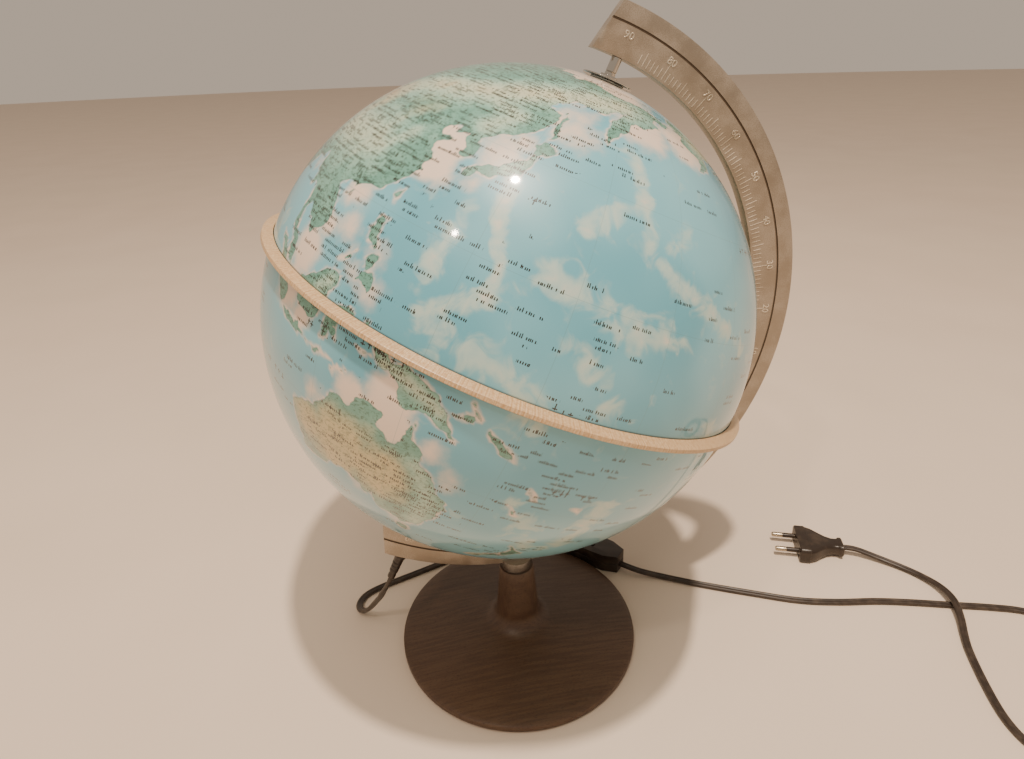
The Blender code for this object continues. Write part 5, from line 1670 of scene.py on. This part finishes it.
@dataclass
class Ball:
    """The printed ball: two shells with a round opening at each pole, under one lacquered map."""

    shop: Workshop
    radius: float = 150.0
    wall: float = 2.0
    joint: float = 0.15  # half the gap between the halves
    north_opening: float = 6.9
    south_opening: float = 23.0
    steps: int = 540
    rows: int = 126
    inner_rows: int = 8
    meridian: float = 257.0  # longitude on the arm's side
    ragged: float = 0.8  # degrees that the coast wanders
    wander_seed: int = 7  # fixed, so that every run draws the same coast
    bays: float = 26.0  # cells of the wander's noise in the ball's radius
    least_crowd: float = 0.16  # how thick the print marks lie where nothing crowds them
    crowd_at_sea: float = 0.66

    def on_sphere(self, places: np.ndarray) -> np.ndarray:
        """Unit vectors of places given as longitude and latitude."""
        lon, lat = np.radians(places[:, 0] - self.meridian), np.radians(places[:, 1])
        return np.stack([np.cos(lat) * np.cos(lon), np.cos(lat) * np.sin(lon), np.sin(lat)], 1)

    def profile(self, half: Half) -> list[Point]:
        """The outline of one shell, from its joint to the pole's opening and back inside.

        Args:
            half: which shell.

        Returns:
            The radius and height of each corner in millimetres.
        """
        opening = self.north_opening if half is Half.NORTH else self.south_opening
        outline = []
        for radius, rows in ((self.radius, self.rows), (self.radius - self.wall, self.inner_rows)):
            start, end = math.asin(self.joint / radius), math.acos(opening / radius)
            angles = np.linspace(start, end, rows + 1)
            if radius < self.radius:
                angles = angles[::-1]
            outline += [(radius * math.cos(angle), half.value * radius * math.sin(angle)) for angle in angles]
        return outline

    def inland(self, places: np.ndarray) -> np.ndarray:
        """How far inland each place lies.

        Args:
            places: longitudes and latitudes, with the coast's wander added.

        Returns:
            Degrees to the nearest coast, negative at sea.
        """
        shores = {name: track(text) for name, text in COASTS.items()}
        rim = np.concatenate([subdivided(line, 0.4, True) for line in shores.values()])
        rim = self.on_sphere(rim)
        tree = KDTree(len(rim))
        for index, point in enumerate(rim):
            tree.insert(point, index)
        tree.balance()
        near = np.array([tree.find(spot)[2] for spot in self.on_sphere(places)])
        dry = np.zeros(len(places), bool)
        for name, line in shores.items():
            for whole_turn in (-360.0, 0.0, 360.0):
                x, y = places[:, 0] + whole_turn, places[:, 1]
                low, high = line.min(0), line.max(0)
                near_box = np.flatnonzero((x > low[0]) & (x < high[0]) & (y > low[1]) & (y < high[1]))
                if not len(near_box):
                    continue
                x, y = x[near_box], y[near_box]
                odd = np.zeros(len(x), bool)
                for (x1, y1), (x2, y2) in zip(line, np.roll(line, -1, axis=0)):
                    if y1 != y2:
                        crossed = (y1 > y) != (y2 > y)
                        odd ^= crossed & (x < (x2 - x1) * (y - y1) / (y2 - y1) + x1)
                dry[near_box[odd]] = name not in LAKES
        return np.where(dry, 1.0, -1.0) * np.degrees(near)

    def swell(self, spots: np.ndarray, marks: Iterable[Sequence[float]]) -> np.ndarray:
        """Soft round hills.

        Args:
            spots: unit vectors.
            marks: each hill's longitude, latitude, reach in degrees and amount.

        Returns:
            The highest hill at each spot.
        """
        height = np.zeros(len(spots))
        for lon, lat, reach, amount in marks:
            middle = self.on_sphere(np.array([[lon, lat]]))[0]
            away = np.degrees(np.arccos(np.clip(spots @ middle, -1.0, 1.0)))
            height = np.maximum(height, amount * np.exp(-((away / reach) ** 2)))
        return height

    def ridge(self, spots: np.ndarray, lines: Iterable[tuple[float, float, str]]) -> np.ndarray:
        """Soft long hills along lines.

        Args:
            spots: unit vectors.
            lines: each line's amount, its reach in degrees, and its places.

        Returns:
            The highest hill at each spot.
        """
        marks = []
        for amount, reach, text in lines:
            marks += [(lon, lat, reach, amount) for lon, lat in subdivided(track(text), reach * 0.9, False)]
        return self.swell(spots, marks)

    def print_map(self, shell: bpy.types.Object) -> None:
        """Lay the map's relief on a shell's mesh as attributes, and its graticule as a UV map.

        Args:
            shell: the shell, in place.
        """
        mesh = shell.data
        spots = np.empty(len(mesh.vertices) * 3)
        mesh.vertices.foreach_get("co", spots)
        spots = spots.reshape(-1, 3)
        back = np.array(POLAR.inverted())
        spots = spots @ back[:3, :3].T + back[:3, 3]
        spots /= np.linalg.norm(spots, axis=1)[:, None]
        lon = np.degrees(np.arctan2(spots[:, 1], spots[:, 0])) + self.meridian
        lat = np.degrees(np.arcsin(spots[:, 2]))
        noise.seed_set(self.wander_seed)
        wander = np.array([noise.turbulence_vector(Vector(spot) * self.bays, 4, False) for spot in spots])
        spread = self.ragged / np.maximum(np.cos(np.radians(lat)), 0.2)
        places = np.stack([lon + wander[:, 0] * spread, lat + wander[:, 1] * self.ragged], 1)
        coast = self.inland(places)
        shelf = self.swell(spots, SHELVES)
        values = {
            "coast": coast,
            "tall": self.ridge(spots, RANGES),
            "dry": self.swell(spots, DESERTS),
            "shoal": np.maximum(shelf, 0.75 * np.exp(-np.abs(coast) / 0.9)),
            "rise": self.ridge(spots, RISES),
            "crowd": np.maximum(self.least_crowd, self.swell(spots, CROWDS))
            * np.where(coast > 0, 1.0, self.crowd_at_sea),
        }
        for name, value in values.items():
            mesh.attributes.new(name, "FLOAT", "POINT").data.foreach_set("value", value.astype(np.float32))
        corners = np.empty(len(mesh.loops), np.int32)
        mesh.loops.foreach_get("vertex_index", corners)
        starts = np.empty(len(mesh.polygons), np.int32)
        mesh.polygons.foreach_get("loop_start", starts)
        counts = np.diff(np.append(starts, len(corners)))
        u = (lon[corners] % 360.0) / 360.0
        span = np.maximum.reduceat(u, starts) - np.minimum.reduceat(u, starts)
        split = np.repeat(span > 0.5, counts)  # corners of a face that lies across the map's edge
        u = np.where(split & (u < 0.5), u + 1.0, u)
        v = lat[corners] / 180.0 + 0.5
        layer = mesh.uv_layers.new(name="graticule")
        layer.data.foreach_set("uv", np.stack([u, v], 1).astype(np.float32).ravel())

    def build(self, print_finish: PrintedMap, ring: MouldedPlastic) -> None:
        """Make both shells.

        Args:
            print_finish: the map's finish.
            ring: the finish of the hidden ring inside the joint.
        """
        paint = print_finish.build()
        for half in Half:
            name = half.name.lower()
            shape = turned(self.profile(half), self.steps)
            node = f"{name}_hemisphere"
            shell = self.shop.piece(
                f"{name}_printed_shell", shape, Body.BALL, [paint], POLAR, stands_for=[node], slot="map_shell"
            )
            self.print_map(shell)
            LOG.info("%s: map laid on", shell.name)
        self.shop.dress(ring.build(), "joining_ring", "north_bush", "south_bush")


@dataclass
class EquatorBand:
    """The tapered band that stands out along the equator and covers the joint."""

    shop: Workshop
    root: float = 150.3
    outer: float = 156.0
    root_half: float = 3.0
    edge_half: float = 1.2
    steps: int = 360

    def build(self, finish: BandPlastic) -> None:
        """Make the band.

        Args:
            finish: its finish.
        """
        shoulder = self.outer - 0.35
        profile = [(self.root, self.root_half), (shoulder, self.edge_half + 0.1)]
        profile.append((self.outer, self.edge_half - 0.25))
        profile += [(radius, -height) for radius, height in reversed(profile)]
        band = self.shop.piece(
            "equator_ring",
            turned(profile, self.steps),
            Body.BALL,
            [finish.build()],
            POLAR,
            stands_for=["equator_band"],
            slot="tan_plastic",
        )
        mesh = band.data
        back = POLAR.inverted()
        local = [back @ vertex.co for vertex in mesh.vertices]
        edge = [1.0 if math.hypot(spot.x, spot.y) > (shoulder - 0.1) * MM else 0.0 for spot in local]
        mesh.attributes.new("edge", "FLOAT", "POINT").data.foreach_set("value", edge)
        turn = mesh.attributes.new("turn", "FLOAT", "CORNER").data
        for face in mesh.polygons:
            shares = [math.atan2(local[index].y, local[index].x) / math.tau + 0.5 for index in face.vertices]
            top = max(shares)
            for loop, share in zip(face.loop_indices, shares):
                turn[loop].value = share + 1.0 if top - share > 0.5 else share


@dataclass
class InlineSwitch:
    """The rocker switch on the lead: two boat-shaped shells, its rocker, and the parts inside."""

    shop: Workshop
    soften: float = 0.7
    rocker_soften: float = 0.45

    def build(
        self, plastic: MouldedPlastic, rocker: MouldedPlastic, brass: Metal, steel: Metal
    ) -> list[bpy.types.Object]:
        """Make the switch.

        Args:
            plastic: the shells' finish.
            rocker: the rocker's finish.
            brass: the contacts' finish.
            steel: the screws' and the pin's finish.

        Returns:
            The shells.
        """
        dark = plastic.build()
        shells = []
        for level in ("top", "bottom"):
            node = f"switch_{level}_shell"
            shape = copied(node, self.soften)
            shells.append(
                self.shop.piece(
                    f"rounded_switch_{level}", shape, Body.STAND, [dark], stands_for=[node], slot="dark_plastic"
                )
            )
        self.shop.piece(
            "rounded_rocker",
            copied("switch_rocker", self.rocker_soften),
            Body.ROCKER,
            [rocker.build()],
            stands_for=["switch_rocker"],
            slot="rocker_plastic",
        )
        self.shop.dress(brass.build(), "switch_contact_1", "switch_contact_2")
        self.shop.dress(steel.build(), "switch_screw_1", "switch_screw_2", "rocker_pin")
        return shells


@dataclass
class Plug:
    """The flat two-pin plug, lying on its side, with its pins and their insulating sleeves."""

    shop: Workshop
    front: Point = (254.0, 34.5, 7.2)
    heading: float = math.radians(-21.0)
    spacing: float = 18.6
    pin_length: float = 19.0
    sleeve_length: float = 9.6
    socket: float = 8.0  # how deep the pins stand in the body
    pin_radius: float = 2.0
    core_radius: float = 1.3  # of the pin inside its sleeve
    steps: int = 28

    def body(self) -> bmesh.types.BMesh:
        """The moulded body, wide at the pins, with a step behind its face and a flared collar for the lead.

        Returns:
            Its shape, with its face at x = 0 and its middle line along x.
        """
        # Distance from the face, half width, half height and corner radius.
        stations = [(0.0, 16.7, 6.0, 3.0), (0.7, 17.5, 6.7, 3.4), (1.4, 17.65, 6.85, 3.4)]
        stations += [(8.2, 17.65, 6.85, 3.4), (8.7, 17.1, 6.3, 3.2), (9.6, 16.95, 6.2, 3.2)]
        stations += [(13.5, 15.2, 6.1, 3.2), (18.5, 11.2, 5.8, 3.0), (23.5, 7.9, 5.3, 3.0), (28.5, 6.4, 4.8, 3.0)]
        stations += [(32.5, 6.5, 4.8, 3.2), (34.4, 7.9, 5.4, 3.4), (36.2, 8.0, 5.4, 3.4), (37.0, 7.3, 4.7, 3.0)]
        sections = []
        for x, half_width, half_height, corner in stations:
            sections.append([(x, y, z) for y, z in rounded_rectangle(half_width, half_height, corner, 6)])
        return lofted(sections)

    def build(self, plastic: MouldedPlastic, nickel: Metal) -> list[bpy.types.Object]:
        """Make the plug.

        Args:
            plastic: the body's finish.
            nickel: the pins' finish.

        Returns:
            Its pieces.
        """
        place = Matrix.Translation(Vector(self.front) * MM) @ Matrix.Rotation(self.heading, 4, "Z")
        dark, bright = plastic.build(), nickel.build()
        body, stands_for = self.body(), ["plug_body"]
        pieces = [self.shop.piece("moulded_plug", body, Body.STAND, [dark], place, stands_for, "dark_plastic")]
        end, sleeve, root = self.pin_length, self.sleeve_length, 0.3
        outer, core = self.pin_radius, self.core_radius
        pin = [(0.0, end), (1.1, end), (1.75, end - 0.35), (outer, end - 1.0), (outer, sleeve + 0.6)]
        pin += [(core, sleeve + 0.6), (core, root - self.socket), (0.0, root - self.socket)]
        cover = [(1.95, sleeve + 0.3), (outer, sleeve - 0.2), (outer, root), (1.6, root), (1.6, sleeve + 0.3)]
        for index, side in enumerate((-1, 1), start=1):
            aside = Matrix.Translation((0.0, side * self.spacing / 2 * MM, 0.0))
            spot = place @ aside @ Matrix.Rotation(-math.pi / 2, 4, "Y")
            for name, profile, material, node, slot in (
                (f"nickel_pin_{index}", pin, bright, f"plug_pin_{index}", "nickel"),
                (f"pin_cover_{index}", cover, dark, f"plug_pin_sleeve_{index}", "dark_plastic"),
            ):
                shape = turned(profile, self.steps)
                pieces.append(self.shop.piece(name, shape, Body.STAND, [material], spot, [node], slot))
        return pieces


@dataclass
class WireTie:
    """The plastic-coated wire that holds the coil of spare lead together."""

    shop: Workshop
    coil_middle: Point = (370.0, -144.0)
    angle: float = math.radians(35.0)
    reach: float = 30.05  # from the coil's middle to the bundle's middle
    half_width: float = 6.2
    half_height: float = 3.45
    corner: float = 2.2
    wire: float = 0.4  # radius
    under: float = 0.05  # between the table and the wire's underside
    tail: float = 9.0
    lean: float = math.radians(70.0)  # of the twisted tail, from upright

    def build(self, plastic: MouldedPlastic) -> list[bpy.types.Object]:
        """Make the tie.

        Args:
            plastic: its finish.

        Returns:
            Its pieces.
        """
        material = plastic.build()
        x, y = self.coil_middle
        place = Matrix.Translation((x * MM, y * MM, 0.0)) @ Matrix.Rotation(self.angle, 4, "Z")
        path = rounded_rectangle(self.half_width, self.half_height, self.corner)
        rings, facets = [], 8
        for index, (across, up) in enumerate(path):
            before, after = path[index - 1], path[(index + 1) % len(path)]
            way = Vector((after[0] - before[0], 0.0, after[1] - before[1])).normalized()
            out = Vector((way.z, 0.0, -way.x))
            middle = Vector((self.reach + across, 0.0, self.half_height + self.wire + self.under + up))
            ring = []
            for step in range(facets):
                turn = math.tau * step / facets
                offset = out * self.wire * math.cos(turn) + Vector((0.0, self.wire * math.sin(turn), 0.0))
                ring.append(middle + offset)
            rings.append(ring)
        loop = lofted([*rings, rings[0]])
        ends = [face for face in loop.faces if len(face.verts) > 4]
        bmesh.ops.delete(loop, geom=ends, context="FACES_ONLY")
        hoop = self.shop.piece("wire_tie", loop, Body.STAND, [material], place)
        stub = turned([(0.0, 0.0), (0.75, 0.0), (0.6, self.tail), (0.0, self.tail)], 12, soften=0.15)
        rise = Matrix.Translation((self.reach * MM, 0.0, (self.half_height * 2 + 0.5) * MM))
        spot = place @ rise @ Matrix.Rotation(self.lean, 4, "Y")
        return [hoop, self.shop.piece("wire_tie_twist", stub, Body.STAND, [material], spot)]


def main() -> None:
    """Build every class in order, log the count of pieces and update the view layer."""
    logging.basicConfig(level=logging.INFO, format="%(message)s")
    shop = Workshop()
    studio = Studio()
    studio.camera()
    studio.floor()
    studio.lights()

    chrome = Metal("bright_chrome_plate", "C9C6C0", 0.13, mark_size=1.1, mark_depth=0.002)
    steel = Metal("zinc_plated_steel", "A9ABAD", 0.34)
    dark = MouldedPlastic("dark_brown_polypropylene", "2A211B", "3C3128", 0.34)
    brass = Metal("yellow_brass", "C9A25A", 0.26)

    Foot(shop).build(StainedBeech(), PressedFelt(), chrome, steel)
    arm_metal = Metal(
        "champagne_lacquered_steel", "B3A798", 0.42, mark_depth=0.02, dark="978B7C", coat=0.15, metallic=0.7
    )
    # The groove's floor is painted darker, as painted shade in the recess.
    groove = Metal("groove_floor_painted_shade", "6B5E51", 0.55, mark_size=0.7, mark_depth=0.02, metallic=0.6)
    # The raised marks are painted pale, a painted highlight.
    raised = Metal(
        "raised_mark_painted_highlight", "EFE6D6", 0.26, mark_size=0.4, mark_depth=0.02, dark="B5A894", metallic=0.6
    )
    MeridianArm(shop).build(arm_metal, groove, raised)
    white = MouldedPlastic("white_polystyrene", "D8D4CB", "C6C0B4", 0.38)
    PoleFittings(shop).build(chrome, steel, dark)
    Ball(shop).build(PrintedMap(), white)
    EquatorBand(shop).build(BandPlastic())
    Lamp(shop).build(dark, brass, OpalGlass(), Metal("drawn_copper_wire", "C7794F", 0.3))
    rocker = MouldedPlastic("glossy_dark_abs", "241C17", "31271F", 0.2)
    shells = InlineSwitch(shop).build(dark, rocker, brass, steel)
    plug = Plug(shop).build(dark, Metal("nickel_plated_brass", "B3A794", 0.28))
    tie = WireTie(shop).build(white)
    Lead(shop).build(shells, plug, tie)

    LOG.info("%d pieces made", len(shop.made))
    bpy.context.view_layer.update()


if __name__ == "__main__":
    main()
